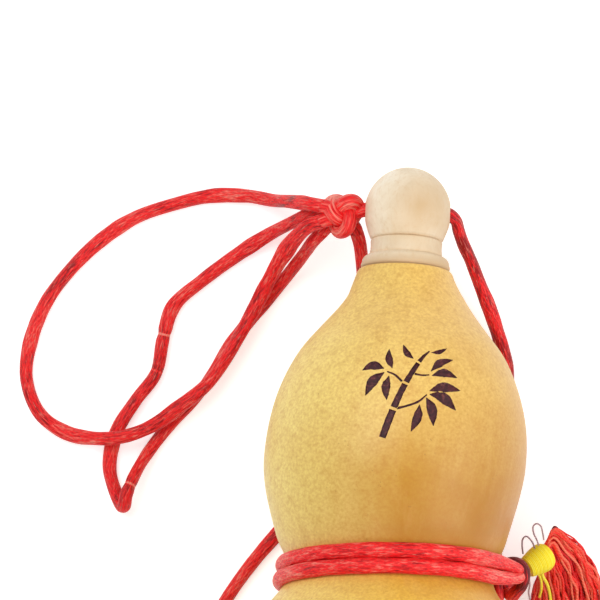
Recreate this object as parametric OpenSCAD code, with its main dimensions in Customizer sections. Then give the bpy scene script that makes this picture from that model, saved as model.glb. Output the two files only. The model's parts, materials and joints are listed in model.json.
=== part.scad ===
// Gourd water bottle, lying on its back.
// A dried gourd with two bulbs has a turned wooden collar glued in its mouth. A wooden
// ball stopper with a cork sleeve plugs the collar. A red cord goes through the ball:
// two lanyard loops and a tail leave a knot on its left, a keeper leaves it on its right.
// A doubled cord round the waist ends in a hitch, and a tassel hangs from the hitch.
// The gourd, collar and stopper are drawn upright on the foot and then laid down by lay().
// Row frame: +Z up, +Y from the foot to the stopper, origin under the middle on the table.

/* [Gourd] */
// Widest diameter of the lower bulb
lower_bulb_d = 78; // [72:0.5:84]
// Height of the lower bulb's widest line above the foot
lower_bulb_z = 34; // [30:0.5:38]
// Outer diameter of the waist
waist_d = 45; // [42:0.2:48]
// Height of the waist above the foot
waist_z = 70; // [68:0.5:73]
// Widest diameter of the upper bulb
upper_bulb_d = 58; // [54:0.5:62]
// Height of the upper bulb's widest line above the foot
upper_bulb_z = 95.5; // [93:0.5:98]
// Outer diameter of the cut mouth
mouth_d = 20.9; // [20.4:0.1:23]
// Height of the cut mouth above the foot
mouth_z = 138; // [135:0.5:142]
// Thickness of the gourd's wall
wall = 3.5; // [2.5:0.1:4.5]
// Diameter of the flat foot
foot_d = 24; // [20:0.5:28]
// Diameter of the scar in the middle of the foot
scar_d = 7; // [5:0.5:10]
// Depth of the scar
scar_depth = 0.8; // [0.4:0.1:1.2]

/* [Collar] */
// Diameter of the collar's flange
flange_d = 19.8; // [19:0.1:20.2]
// Thickness of the flange
flange_h = 3.6; // [3:0.1:4.5]
// Diameter of the neck ring above the flange
neck_ring_d = 16.4; // [15.6:0.1:17.4]
// Height of the neck ring
neck_ring_h = 3.4; // [2.6:0.1:4.2]
// Outer diameter of the sleeve in the gourd's mouth
sleeve_d = 14.6; // [13.6:0.1:15.2]
// Depth of the sleeve below the cut mouth
sleeve_h = 8; // [6:0.5:10]
// Diameter of the bore through the collar
bore_d = 10; // [9:0.1:11]

/* [Stopper] */
// Widest diameter of the ball
ball_d = 19.3; // [18.6:0.1:20]
// Diameter of the ball's flat underside
ball_base_d = 16.2; // [15:0.1:17]
// Height of the ball above the collar
ball_h = 16.6; // [15.4:0.1:17.6]
// Height of the cord hole above the ball's underside
hole_h = 6.5; // [5.8:0.1:7.2]
// Diameter of the stem below the ball
stem_d = 6.6; // [6:0.1:7]
// Length of the cork sleeve on the stem
cork_h = 12; // [9:0.5:14]
// Thickness of the disc that keeps the cork on the stem
keeper_disc_h = 1.6; // [1.2:0.1:2.4]

/* [Cord] */
// Diameter of the cord
cord_d = 3; // [2.6:0.1:3.2]
// Distance between the two turns at the waist, centre to centre
turn_pitch = 3.5; // [3.5:0.1:4]

/* [Tassels] */
// Length of the thread binding
binding_h = 5.6; // [5:0.2:7]
// Diameter of the binding where it leaves the hanger
binding_top_d = 4.6; // [4.2:0.1:5]
// Diameter of the binding where the skirt starts
binding_base_d = 6; // [5.4:0.1:6.6]

/* [Clearances] */
// Glue gap round the sleeve, and round the stem in the cork
glue_gap = 0.1; // [0.05:0.05:0.2]
// Running clearance between the cork and the bore
cork_clearance = 0.1; // [0.05:0.05:0.2]
// Clearance round the cord in the ball's hole
hole_clearance = 0.3; // [0.2:0.1:0.5]
// Clearance between the waist cord and the gourd
wrap_clearance = 0.25; // [0.2:0.05:0.4]
// Clearance between a tassel's hanger and what it turns against
hanger_clearance = 0.3; // [0.2:0.1:0.5]

/* [Hidden] */

$fn = 96;
overshoot = 1; // how far a cutting shape passes the face that it cuts
lower_bulb_r = lower_bulb_d / 2;
upper_bulb_r = upper_bulb_d / 2;
waist_r = waist_d / 2;
mouth_r = mouth_d / 2;
foot_r = foot_d / 2;
cord_r = cord_d / 2;
bore_r = bore_d / 2;
stem_r = stem_d / 2;
ball_r = ball_d / 2;
mouth_bore_r = sleeve_d / 2 + glue_gap;
joint_z = mouth_z + flange_h + neck_ring_h; // where the ball sits on the collar
hole_z = joint_z + hole_h;

// Colours of the materials
gourd_colour = [0.88, 0.66, 0.36];
wood_colour = [0.93, 0.84, 0.68];
cork_colour = [0.70, 0.50, 0.32];
cord_colour = [0.88, 0.14, 0.14];
binding_colour = [0.97, 0.86, 0.16];

// Outline of the gourd: [height, radius, slope] at the places where its curve changes.
// Each shoulder is given by its distance from the waist or mouth, what it adds there to
// the radius, and its slope.
lower_shoulder = [8, 4.4, -0.9];
upper_shoulder = [8, 2.9, 0.29];
neck_shoulder = [16, 9.9, -0.78];
mouth_slope = -0.32;
outline = [
  [lower_bulb_z, lower_bulb_r, 0],
  [waist_z - lower_shoulder[0], waist_r + lower_shoulder[1], lower_shoulder[2]],
  [waist_z, waist_r, 0],
  [waist_z + upper_shoulder[0], waist_r + upper_shoulder[1], upper_shoulder[2]],
  [upper_bulb_z, upper_bulb_r, 0],
  [mouth_z - neck_shoulder[0], mouth_r + neck_shoulder[1], neck_shoulder[2]],
  [mouth_z, mouth_r, mouth_slope]
];
outline_steps = 5; // straight pieces between two places of the outline
bottom_steps = 14; // straight pieces from the foot to the widest line

// Vector and list helpers
function unit(v) = v / norm(v);
function reversed(v) = [for (i = [len(v) - 1 : -1 : 0]) v[i]];
function cubic(a, b, s) = let (h = b[0] - a[0])
  (2 * s^3 - 3 * s^2 + 1) * a[1] + (s^3 - 2 * s^2 + s) * h * a[2]
  + (3 * s^2 - 2 * s^3) * b[1] + (s^3 - s^2) * h * b[2];

// Radius of the gourd's outer surface at a height: part of an ellipse below the widest
// line, cut by the foot, and the curve through the outline's places above it.
bottom_depth = lower_bulb_z / sqrt(1 - (foot_r / lower_bulb_r)^2);
function bottom_r(z) = lower_bulb_r * sqrt(1 - ((lower_bulb_z - z) / bottom_depth)^2);
function place_below(z, i = 0) = i > len(outline) - 3 || z <= outline[i + 1][0] ? i : place_below(z, i + 1);
function upper_r(z) = let (i = place_below(z), a = outline[i], b = outline[i + 1])
  cubic(a, b, (z - a[0]) / (b[0] - a[0]));
function gourd_r(z) = z < lower_bulb_z ? bottom_r(z) : upper_r(z);

// The outline as points [radius, height]
bottom_points = [
  for (i = [0 : bottom_steps - 1])
    let (a = acos(lower_bulb_z / bottom_depth), t = a + (90 - a) * i / bottom_steps)
    [lower_bulb_r * sin(t), lower_bulb_z - bottom_depth * cos(t)]
];
upper_points = [
  for (i = [0 : len(outline) - 2], k = [0 : outline_steps - 1])
    let (z = outline[i][0] + (outline[i + 1][0] - outline[i][0]) * k / outline_steps)
    [upper_r(z), z]
];
outer_points = concat(bottom_points, upper_points, [[mouth_r, mouth_z]]);

// The cavity: an ellipse that leaves one wall at the foot, then the outer surface moved
// in by one wall, then the straight bore for the collar's sleeve.
slope_step = 0.1;
function upper_slope(z) = (upper_r(z) - upper_r(z - slope_step)) / slope_step;
function inset(p) = let (m = upper_slope(p[1]), n = sqrt(1 + m^2))
  [p[0] - wall / n, p[1] + wall * m / n];
cavity_bottom = [
  for (i = [0 : bottom_steps - 1]) let (t = 90 * i / bottom_steps)
    [(lower_bulb_r - wall) * sin(t), lower_bulb_z - (lower_bulb_z - wall) * cos(t)]
];
cavity_top = [
  for (p = upper_points) let (q = p[1] > lower_bulb_z ? inset(p) : [p[0] - wall, p[1]])
    if (q[0] > mouth_bore_r + 0.2 && q[1] < mouth_z - wall) q
];
last_inset = cavity_top[len(cavity_top) - 1];
cavity_points = concat(
  cavity_bottom, cavity_top,
  [[mouth_bore_r, last_inset[1] + last_inset[0] - mouth_bore_r], [mouth_bore_r, mouth_z + overshoot],
   [0, mouth_z + overshoot]]
);

// The ball: a lower flank that widens from the flat underside, and half an ellipse above.
ball_steps = 14;
ball_points = concat(
  [for (i = [0 : ball_steps - 1]) let (t = 90 * i / ball_steps)
    [ball_base_d / 2 + (ball_r - ball_base_d / 2) * sin(t), joint_z + hole_h * i / ball_steps]],
  [for (i = [0 : ball_steps]) let (t = 90 * i / ball_steps)
    [ball_r * cos(t), hole_z + (ball_h - hole_h) * sin(t)]]
);

// How the bottle lies: it tilts until both bulbs touch the table.
function reach_down(points, tilt) = max([for (p = points) p[1] * sin(tilt) + p[0] * cos(tilt)]);
low_half = [for (p = outer_points) if (p[1] < waist_z) p];
high_half = [for (p = outer_points) if (p[1] > waist_z) p];
function tilt_between(lo, hi, n) = let (mid = (lo + hi) / 2)
  n == 0 ? mid
  : reach_down(low_half, mid) > reach_down(high_half, mid)
  ? tilt_between(mid, hi, n - 1)
  : tilt_between(lo, mid, n - 1);
lay_tilt = tilt_between(0, 30, 30);
lay_height = reach_down(outer_points, lay_tilt);
far_end = max([for (p = ball_points) p[1] * cos(lay_tilt) + p[0] * sin(lay_tilt)]);
near_end = min([for (p = outer_points) p[1] * cos(lay_tilt) - p[0] * sin(lay_tilt)]);
lay_shift = -(far_end + near_end) / 2;
function lay_direction(v) = [
  v[0],
  v[2] * cos(lay_tilt) - v[1] * sin(lay_tilt),
  -v[1] * cos(lay_tilt) - v[2] * sin(lay_tilt)
];
function lay_point(p) = lay_direction(p) + [0, lay_shift, lay_height];
module lay() translate([0, lay_shift, lay_height]) rotate([-(90 + lay_tilt), 0, 0]) children();

// Cord routes, in the row frame. Each is a list of round numbers along the cord's middle.
hole_at = lay_point([0, 0, hole_z]);
large_loop_route = [
  [-18.8, 71.2, 21.2], [-22.3, 71.8, 19.2], [-26.4, 72.4, 12.6], [-30.4, 72.8, 5.5],
  [-36.3, 73.7, 1.9], [-44.3, 73.4, 1.5], [-52.8, 71.1, 1.5], [-61.3, 67.7, 1.5], [-68.9, 62.2, 1.5],
  [-75.4, 55.3, 1.5], [-80.5, 47.7, 1.5], [-83.6, 38.8, 1.5], [-84.1, 30.3, 1.5], [-80.8, 22.7, 1.5],
  [-74.8, 18.7, 2], [-68.4, 17.6, 4.4], [-61.8, 18.2, 4.9], [-55, 21.1, 4.9], [-49.2, 25.6, 4.9],
  [-43.4, 30.8, 4.9], [-39.4, 36.7, 4.9], [-36.5, 42.2, 4.9], [-33.8, 47.7, 4.9],
  [-31.3, 53.1, 5.4], [-28.3, 59.1, 8], [-25.1, 63.9, 13], [-21.8, 66.9, 18], [-18.8, 68, 20.5]
];
small_loop_route = [
  [-18.5, 71.2, 17.5], [-21.8, 69.9, 14.6], [-25.8, 67.9, 9], [-31.3, 65, 3], [-37.9, 60.4, 1.5],
  [-45.6, 54.2, 1.5], [-51.8, 48.1, 1.5], [-53.8, 40.6, 1.5], [-55, 33, 1.5], [-59.4, 26.4, 1.5],
  [-63.3, 19.3, 1.5], [-64.5, 11.2, 1.5], [-62.5, 4.9, 1.5], [-60.9, 2.5, 3.8], [-60.2, 5.5, 6],
  [-58, 11.2, 4], [-54.8, 16.8, 1.5], [-50.9, 22.1, 1.5], [-46.1, 27.6, 1.5], [-42.2, 33.4, 1.5],
  [-38.7, 39.8, 1.5], [-34.4, 45.9, 1.5], [-30, 51.6, 1.7], [-25.8, 57, 4],
  [-22.5, 61.5, 8], [-20.8, 63.8, 12.4], [-18.6, 66, 15.6]
];
keeper_route = [
  [10.1, 70.7, 20.4], [11.4, 70.7, 20.4], [12.5, 69.3, 19.5], [12.6, 66.9, 18],
  [13.1, 64.2, 16.3], [14.5, 61, 13.9], [16.9, 55.7, 10.4], [19.4, 50.3, 7], [22, 43.6, 3.6],
  [23.8, 38, 1.8], [24.1, 32.5, 1.5], [23.2, 26, 1.5], [22.2, 18, 1.5], [21.8, 9, 1.5],
  [21.9, 2, 1.8], [22.7, -3.5, 4.6], [23.6, -7.3, 9], [24.2, -9.3, 14]
];
tail_route = [
  [-11.2, 66, 16], [-10.4, 63.6, 14.6], [-9.9, 60.8, 12.8], [-9.4, 57, 10.2], [-9, 52, 7],
  [-8.9, 47.2, 4], [-9.1, 43, 2], [-10.2, 38, 1.5], [-12.9, 33, 1.5], [-14.9, 28, 1.5],
  [-15.7, 22, 1.5], [-16, 16, 1.5], [-17, 10, 1.5], [-19.6, 5.2, 1.5], [-23, 1.4, 1.5],
  [-26.6, -2.6, 1.5], [-31, -8.2, 1.5], [-35.2, -14.4, 1.5], [-39.4, -21.8, 1.5],
  [-43, -29, 1.8], [-45.8, -34.8, 2.5]
];
cord_sides = 8;
stub_l = 3.2; // how far a knot's own stub of cord reaches back from where a cord starts

// A tube or flattened tube along points: half_w and half_h are its half sizes at each
// ring, across and up. A cord's rings turn with its route, so that it doesn't twist. A
// skirt's rings stay level, so that it lies flat.
function directions(p) = [
  for (i = [0 : len(p) - 1]) unit(p[min(i + 1, len(p) - 1)] - p[max(i - 1, 0)])
];
function carried(t, m, i, done) = i == len(t) ? done
  : let (u = unit(m - (m * t[i]) * t[i])) carried(t, u, i + 1, concat(done, [u]));
function ring_points(p, half_w, half_h, sides, level) = let (
    t = directions(p),
    n = level ? [for (d = t) unit([0, 0, 1] - d[2] * d)] : carried(t, [0, 0, 1], 0, [])
  ) [for (i = [0 : len(p) - 1], k = [0 : sides - 1]) let (a = 360 * (k + 0.5) / sides)
    p[i] + half_w[i] * sin(a) * cross(n[i], t[i]) + half_h[i] * cos(a) * n[i]];
function tube_faces(rings, sides) = concat(
  [for (i = [0 : rings - 2], k = [0 : sides - 1]) let (a = i * sides + k, b = i * sides + (k + 1) % sides)
    [a, b, b + sides]],
  [for (i = [0 : rings - 2], k = [0 : sides - 1]) let (a = i * sides + k, b = i * sides + (k + 1) % sides)
    [a, b + sides, a + sides]],
  [for (k = [1 : sides - 2]) [0, k + 1, k]],
  [for (k = [1 : sides - 2]) let (a = (rings - 1) * sides) [a, a + k, a + k + 1]]
);
module swept(p, half_w, half_h, sides, level)
  polyhedron(ring_points(p, half_w, half_h, sides, level), tube_faces(len(p), sides));
module cord_along(p, sides = cord_sides) {
  radius = [for (i = p) cord_r];
  swept(p, radius, radius, sides, level = false);
}

// Stands what is drawn along +Z on the line from a to b
module along(a, b) {
  d = b - a;
  translate(a) rotate([0, acos(d[2] / norm(d)), atan2(d[1], d[0])]) children();
}
// The short piece of cord in a knot that a free cord carries on from
module stub(route_start, next) along(route_start + stub_l * unit(route_start - next), route_start)
  cylinder(h = stub_l, r = cord_r);
module ring(major, minor) rotate_extrude() translate([major, 0]) circle(minor, $fn = 24);

// Gourd, collar and stopper
module gourd_shell() color(gourd_colour) lay() difference() {
  rotate_extrude() polygon(concat([[0, 0]], outer_points, [[0, mouth_z]]));
  rotate_extrude() polygon(cavity_points);
  translate([0, 0, -overshoot]) cylinder(h = scar_depth + overshoot, d = scar_d);
}

flange_edge = 1.2; // straight height of the flange's edge
flange_steps = 8;
module mouth_collar() color(wood_colour) lay() difference() {
  rotate_extrude() polygon(concat(
    [[0, mouth_z - sleeve_h], [sleeve_d / 2, mouth_z - sleeve_h], [sleeve_d / 2, mouth_z],
     [flange_d / 2 - flange_edge / 2, mouth_z], [flange_d / 2, mouth_z + flange_edge / 2]],
    [for (i = [0 : flange_steps]) let (t = 90 * i / flange_steps)
      [neck_ring_d / 2 + (flange_d - neck_ring_d) / 2 * cos(t),
       mouth_z + flange_edge + (flange_h - flange_edge) * sin(t)]],
    [[neck_ring_d / 2, joint_z], [0, joint_z]]
  ));
  translate([0, 0, mouth_z - sleeve_h - overshoot])
    cylinder(h = joint_z - mouth_z + sleeve_h + 2 * overshoot, r = bore_r);
}

keeper_disc_r = bore_r - 0.6; // the disc under the cork clears the bore
module stopper() color(wood_colour) lay() difference() {
  union() {
    rotate_extrude() polygon(concat([[0, joint_z]], ball_points));
    translate([0, 0, joint_z - cork_h - keeper_disc_h]) {
      cylinder(h = keeper_disc_h, r = keeper_disc_r);
      cylinder(h = keeper_disc_h + cork_h + overshoot, r = stem_r); // its top is inside the ball
    }
  }
  translate([-ball_r - overshoot, 0, hole_z]) rotate([0, 90, 0])
    cylinder(h = ball_d + 2 * overshoot, r = cord_r + hole_clearance);
}

module stopper_cork() color(cork_colour) lay() translate([0, 0, joint_z - cork_h]) difference() {
  cylinder(h = cork_h, r = bore_r - cork_clearance);
  translate([0, 0, -overshoot]) cylinder(h = cork_h + 2 * overshoot, r = stem_r + glue_gap);
}

// Cord through the ball, and the knot on its left
knot_right = -(ball_r + 0.55); // the knot's face beside the ball
knot_l = 7.2;
knot_r = 5.2; // outer radius of the knot's thinner ring
knot_end_r = [4.2, 3.1]; // radii of the core's left and right ends
knot_core_bulge = 1.3; // how far the core swells between them
knot_ring_step = 0.6; // how much wider the left ring is
knot_drop = 0.8; // how far the knot's middle hangs below the hole's middle
knot_steps = 8;
module stopper_cord() color(cord_colour)
  translate([knot_right, hole_at[1], hole_at[2]]) rotate([0, 90, 0])
  cylinder(h = keeper_route[0][0] - knot_right, r = cord_r);
module neck_knot() color(cord_colour) {
  translate([knot_right - knot_l, hole_at[1], hole_at[2] - knot_drop]) rotate([0, 90, 0]) {
    rotate_extrude() polygon(concat(
      [[0, 0]],
      [for (i = [0 : knot_steps]) let (t = i / knot_steps)
        [knot_end_r[0] * (1 - t) + knot_end_r[1] * t + knot_core_bulge * sin(180 * t), knot_l * t]],
      [[0, knot_l]]
    ));
    translate([0, 0, knot_l * 0.35]) rotate([0, 14, 0]) ring(knot_r - cord_r + knot_ring_step, cord_r);
    translate([0, 0, knot_l * 0.66]) rotate([10, -12, 0]) ring(knot_r - cord_r, cord_r);
  }
  for (r = [large_loop_route, reversed(large_loop_route), small_loop_route, reversed(small_loop_route),
            tail_route])
    stub(r[0], r[1]);
}

module lanyard_loop_large() color(cord_colour) cord_along(large_loop_route);
module lanyard_loop_small() color(cord_colour) cord_along(small_loop_route);
module keeper_cord() color(cord_colour) cord_along(keeper_route);
module tail_cord() color(cord_colour) cord_along(tail_route);

// Waist cord: a doubled strand that leaves the hitch, goes behind, round and over the
// front, and turns back on itself at a bight beside the hitch. Angles are measured round
// the upright bottle from its front towards its right.
hitch_phi = 146; // where the strands leave the gourd for the hitch
bight_phi = 60; // where they leave it for the bight
hitch_reach = 13; // from there to the middle of the hitch
hitch_rise = 2.2; // and how far the hitch lies above that
hitch_half = 2.8; // half the length of the hitch
hitch_core_r = 3.2;
hitch_ring_r = 2.2;
hitch_ring_inset = 1.7; // from each end of the hitch to the middle of its ring
bight_reach = 11.3;
bight_rise = 1.2;
wrap_skew = 0.8; // how far the turns climb towards the right
wrap_rings = 19; // rings of a strand where it lies on the gourd
bight_rings = 5;
wrap_sides = 6;
function wrap_at(phi, side) = let (
    z = waist_z + wrap_skew * sin(phi) + side * turn_pitch / 2,
    r = gourd_r(z) + cord_r + wrap_clearance
  ) [r * sin(phi), -r * cos(phi), z];
hitch_from = (wrap_at(hitch_phi, 1) + wrap_at(hitch_phi, -1)) / 2;
hitch_at = hitch_from + [-hitch_reach * cos(hitch_phi), -hitch_reach * sin(hitch_phi), hitch_rise];
hitch_line = unit(hitch_at - hitch_from);
hitch_entry = hitch_at - hitch_half * hitch_line;
bight_step = [bight_reach * cos(bight_phi), bight_reach * sin(bight_phi), bight_rise];
bight_at = (wrap_at(bight_phi, 1) + wrap_at(bight_phi, -1)) / 2 + bight_step;
side_step = [0, 0, turn_pitch / 2];
entry_step = turn_pitch / 2 * unit([0, 0, 1] - hitch_line[2] * hitch_line);
function strand(side) = concat(
  [hitch_entry + side * entry_step, hitch_entry - cord_d * hitch_line + side * entry_step],
  [for (i = [0 : wrap_rings - 1])
    wrap_at(hitch_phi + (360 + bight_phi - hitch_phi) * i / (wrap_rings - 1), side)],
  [for (i = [1 : 3]) bight_at + side * side_step - bight_step * (3 - i) / 3]
);
bight_turn = [
  for (i = [1 : bight_rings]) let (a = 90 - 180 * i / (bight_rings + 1))
    bight_at + turn_pitch / 2 * (cos(a) * unit(bight_step) + sin(a) * [0, 0, 1])
];
wrap_route = concat(strand(1), bight_turn, reversed(strand(-1)));
wrap_gap = min([
  for (i = [0 : len(wrap_route) - 1], j = [i + bight_rings + 1 : 1 : len(wrap_route) - 1])
    norm(wrap_route[i] - wrap_route[j])
]) - cord_d;
echo(least_gap_of_waist_cord_to_itself_mm = wrap_gap);
module waist_wrap() color(cord_colour) lay() cord_along(wrap_route, wrap_sides);
module waist_knot() color(cord_colour) {
  lay() along(hitch_entry, hitch_at) {
    cylinder(h = 2 * hitch_half, r = hitch_core_r);
    for (s = [-1, 1])
      translate([0, 0, hitch_half + s * (hitch_half - hitch_ring_inset)]) rotate([0, s * 6, 0])
      ring(hitch_ring_r, cord_r - 0.1);
  }
  stub(keeper_route[len(keeper_route) - 1], keeper_route[len(keeper_route) - 2]);
}

// Tassels: a hanger with a round head that turns in place, a bound neck and a skirt
head_r = 1.6;
left_head_r = 2.2;
hanger_neck_l = 0.5;
right_pivot = lay_point(hitch_at + (hitch_half + hanger_clearance + head_r) * hitch_line);
left_pivot = [-47, -37, 2.9];
right_way = unit([0.757, 0.53, -0.38]);
left_way = unit([-0.2, -0.98, 0.03]);
right_neck = right_pivot + (head_r + hanger_neck_l) * right_way;
left_neck = left_pivot + (left_head_r + hanger_neck_l) * left_way;
right_base = right_neck + binding_h * right_way;
left_base = left_neck + binding_h * left_way;
skirt_sides = 12;
skirt_lead = 0.6; // first step out of the binding, on the binding's own line
// Skirts after that step: steps from the binding along the table, height above it, half
// width and half height.
right_skirt = [
  [2.3, 1, 18.3, 3.4, 3.2], [4.5, 0, 16.1, 4.8, 3.5], [5.9, -2.7, 12.8, 5.9, 3.5],
  [6.5, -6.3, 9.2, 7.1, 3.3], [7.1, -10.8, 6.1, 8.1, 3], [7.8, -18, 3.6, 9.3, 2.5],
  [8.7, -28, 2.5, 10.2, 2.1], [9.7, -39.7, 2, 10.8, 1.8]
];
left_skirt = [
  [-0.9, -4.5, 3.1, 3.9, 2.8], [-2.4, -12, 2.8, 5.8, 2.6], [-4.4, -22, 2.4, 7.6, 2.2],
  [-6.4, -32, 2.1, 8.8, 1.9], [-8.4, -42, 1.9, 9.2, 1.7]
];
module hanger(pivot, head, neck) color(cord_colour) {
  translate(pivot) sphere(head);
  along(pivot, neck) cylinder(h = norm(neck - pivot), r = cord_r);
}
module binding(neck, base) color(binding_colour) along(neck, base)
  cylinder(h = binding_h, d1 = binding_top_d, d2 = binding_base_d);
module skirt(base, way, rows) color(cord_colour) {
  lead = binding_base_d / 2;
  p = concat([base, base + skirt_lead * way], [for (r = rows) [base[0] + r[0], base[1] + r[1], r[2]]]);
  half_w = concat([lead, lead + 0.4], [for (r = rows) r[3]]);
  half_h = concat([lead, lead + 0.1], [for (r = rows) r[4]]);
  swept(p, half_w, half_h, skirt_sides, level = true);
}
module tassel_right_hanger() hanger(right_pivot, head_r, right_neck);
module tassel_right_binding() binding(right_neck, right_base);
module tassel_right_skirt() skirt(right_base, right_way, right_skirt);
module tassel_left_hanger() hanger(left_pivot, left_head_r, left_neck);
module tassel_left_binding() binding(left_neck, left_base);
module tassel_left_skirt() skirt(left_base, left_way, left_skirt);

gourd_shell();
mouth_collar();
stopper();
stopper_cork();
stopper_cord();
neck_knot();
lanyard_loop_large();
lanyard_loop_small();
keeper_cord();
tail_cord();
waist_wrap();
waist_knot();
tassel_right_hanger();
tassel_right_binding();
tassel_right_skirt();
tassel_left_hanger();
tassel_left_binding();
tassel_left_skirt();
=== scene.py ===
"""Looks of the gourd water bottle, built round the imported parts.

Lengths in the tables are millimetres in the row frame; the scene itself is in metres.
"""

import json
import math

import bmesh
import bpy
import numpy as np
from mathutils import Matrix, Vector, noise


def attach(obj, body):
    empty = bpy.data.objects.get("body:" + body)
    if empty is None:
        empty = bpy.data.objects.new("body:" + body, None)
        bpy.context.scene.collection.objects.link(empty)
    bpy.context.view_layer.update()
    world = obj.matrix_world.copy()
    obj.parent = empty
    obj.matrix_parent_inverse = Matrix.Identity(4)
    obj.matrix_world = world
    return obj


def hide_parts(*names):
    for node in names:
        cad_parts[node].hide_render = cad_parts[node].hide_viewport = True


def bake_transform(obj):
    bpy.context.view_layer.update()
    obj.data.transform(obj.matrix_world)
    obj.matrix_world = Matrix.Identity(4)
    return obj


MM = 0.001
FULL_TURN = 2 * math.pi
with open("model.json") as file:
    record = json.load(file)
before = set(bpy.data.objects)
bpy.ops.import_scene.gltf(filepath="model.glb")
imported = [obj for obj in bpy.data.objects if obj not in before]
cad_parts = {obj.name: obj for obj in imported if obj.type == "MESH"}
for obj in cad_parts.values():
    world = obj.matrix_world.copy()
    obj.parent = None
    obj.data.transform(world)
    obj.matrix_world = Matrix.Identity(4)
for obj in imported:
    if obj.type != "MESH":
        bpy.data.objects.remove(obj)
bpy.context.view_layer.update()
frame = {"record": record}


# ---------------------------------------------------------------- camera

CAMERA_PLACE, CAMERA_AIM = (0.0, 0.0, 1502.0), (-23.08, 50.21, 20.0)
CAMERA_ROLL = math.radians(2.59)


def add_camera():
    """The photograph's view: from above, with a long lens, turned a little."""
    place, aim = Vector(CAMERA_PLACE) * MM, Vector(CAMERA_AIM) * MM
    ahead = (aim - place).normalized()
    right = ahead.cross(Vector((0, 1, 0))).normalized()
    up = right.cross(ahead)
    right, up = (
        right * math.cos(CAMERA_ROLL) + up * math.sin(CAMERA_ROLL),
        up * math.cos(CAMERA_ROLL) - right * math.sin(CAMERA_ROLL),
    )
    data = bpy.data.cameras.new("camera")
    data.lens = 400
    data.sensor_width = 36
    data.clip_start = 0.01
    camera = bpy.data.objects.new("camera", data)
    turn = Matrix((right, up, -ahead)).transposed().to_4x4()
    camera.matrix_world = Matrix.Translation(place) @ turn
    bpy.context.scene.collection.objects.link(camera)
    bpy.context.scene.camera = camera


add_camera()

# ---------------------------------------------------------------- how the bottle lies

JOINTS = {joint["name"]: joint for joint in frame["record"]["behaviour"]["joints"]}
FOOT = next(mount for mount in frame["record"]["mounts"] if mount["name"] == "foot")
AXIS = JOINTS["stopper_pull"]["axis"]
TILT = math.atan2(-AXIS[2], AXIS[1])
SHIFT, HEIGHT = FOOT["pos_m"][1] / MM, FOOT["pos_m"][2] / MM
COS, SIN = math.cos(TILT), math.sin(TILT)

# heights above the foot and radii of the gourd, in mm
LOWER_Z, LOWER_R, FOOT_R = 34.0, 39.0, 12.0
WAIST_Z, WAIST_R = 70.0, 22.5
UPPER_Z, UPPER_R = 95.5, 29.0
MOUTH_Z, MOUTH_R, MOUTH_SLOPE = 138.0, 10.45, -0.32
WALL, BORE_R = 3.5, 7.4


def lay(p):
    """Upright points in mm, with +Z along the bottle, as row frame points in mm."""
    p = np.asarray(p, float).reshape(-1, 3)
    return np.c_[
        p[:, 0], p[:, 2] * COS - p[:, 1] * SIN + SHIFT, HEIGHT - p[:, 1] * COS - p[:, 2] * SIN
    ]


# ---------------------------------------------------------------- curves and tubes


def smooth_path(points, step=0.6):
    """An even line in mm through the points, with no sharp corners."""
    p = np.asarray(points, float)
    p = np.vstack([2 * p[0] - p[1], p, 2 * p[-1] - p[-2]])
    out = []
    for i in range(1, len(p) - 2):
        a, b, c, d = p[i - 1 : i + 3]
        t0 = 0.0
        t1 = t0 + max(np.linalg.norm(b - a), 1e-6) ** 0.5
        t2 = t1 + max(np.linalg.norm(c - b), 1e-6) ** 0.5
        t3 = t2 + max(np.linalg.norm(d - c), 1e-6) ** 0.5
        count = max(4, int(np.linalg.norm(c - b) / step * 2))
        t = np.linspace(t1, t2, count, endpoint=False)[:, None]
        ab = (t1 - t) / (t1 - t0) * a + (t - t0) / (t1 - t0) * b
        bc = (t2 - t) / (t2 - t1) * b + (t - t1) / (t2 - t1) * c
        cd = (t3 - t) / (t3 - t2) * c + (t - t2) / (t3 - t2) * d
        abc = (t2 - t) / (t2 - t0) * ab + (t - t0) / (t2 - t0) * bc
        bcd = (t3 - t) / (t3 - t1) * bc + (t - t1) / (t3 - t1) * cd
        out.append((t2 - t) / (t2 - t1) * abc + (t - t1) / (t2 - t1) * bcd)
    out.append(p[-2:-1])
    return even(np.vstack(out), step)


def even(line, step):
    """The same line with its points spaced evenly."""
    line = np.asarray(line, float)
    run = run_along(line)
    count = max(2, int(round(run[-1] / step)) + 1)
    want = np.linspace(0, run[-1], count)
    return np.stack([np.interp(want, run, line[:, k]) for k in range(3)], axis=1)


def run_along(line):
    """How far along a line each of its points is."""
    return np.r_[0, np.cumsum(np.linalg.norm(np.diff(line, axis=0), axis=1))]


def at_shares(line, shares):
    """Points of a line at shares of its length."""
    run = run_along(line)
    return np.stack([np.interp(shares * run[-1], run, line[:, k]) for k in range(3)], axis=1)


def unit(v):
    """Rows of v at length one."""
    v = np.asarray(v, float)
    return v / np.maximum(np.linalg.norm(v, axis=-1, keepdims=True), 1e-9)


def carried_frames(line):
    """Direction, side and upward vectors along a line, turned as little as possible."""
    ahead = unit(np.gradient(line, axis=0))
    normal = np.zeros_like(ahead)
    m = np.array((0.0, 0.0, 1.0))
    for i, t in enumerate(ahead):
        m = m - t * (m @ t)
        if np.linalg.norm(m) < 1e-4:
            m = np.cross(t, (1.0, 0.3, 0.2))
        m = m / np.linalg.norm(m)
        normal[i] = m
    return ahead, np.cross(normal, ahead), normal


def face_outwards(me):
    """Turns a mesh's faces so that they all look out."""
    bm = bmesh.new()
    bm.from_mesh(me)
    bmesh.ops.recalc_face_normals(bm, faces=bm.faces)
    bm.to_mesh(me)
    bm.free()


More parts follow.
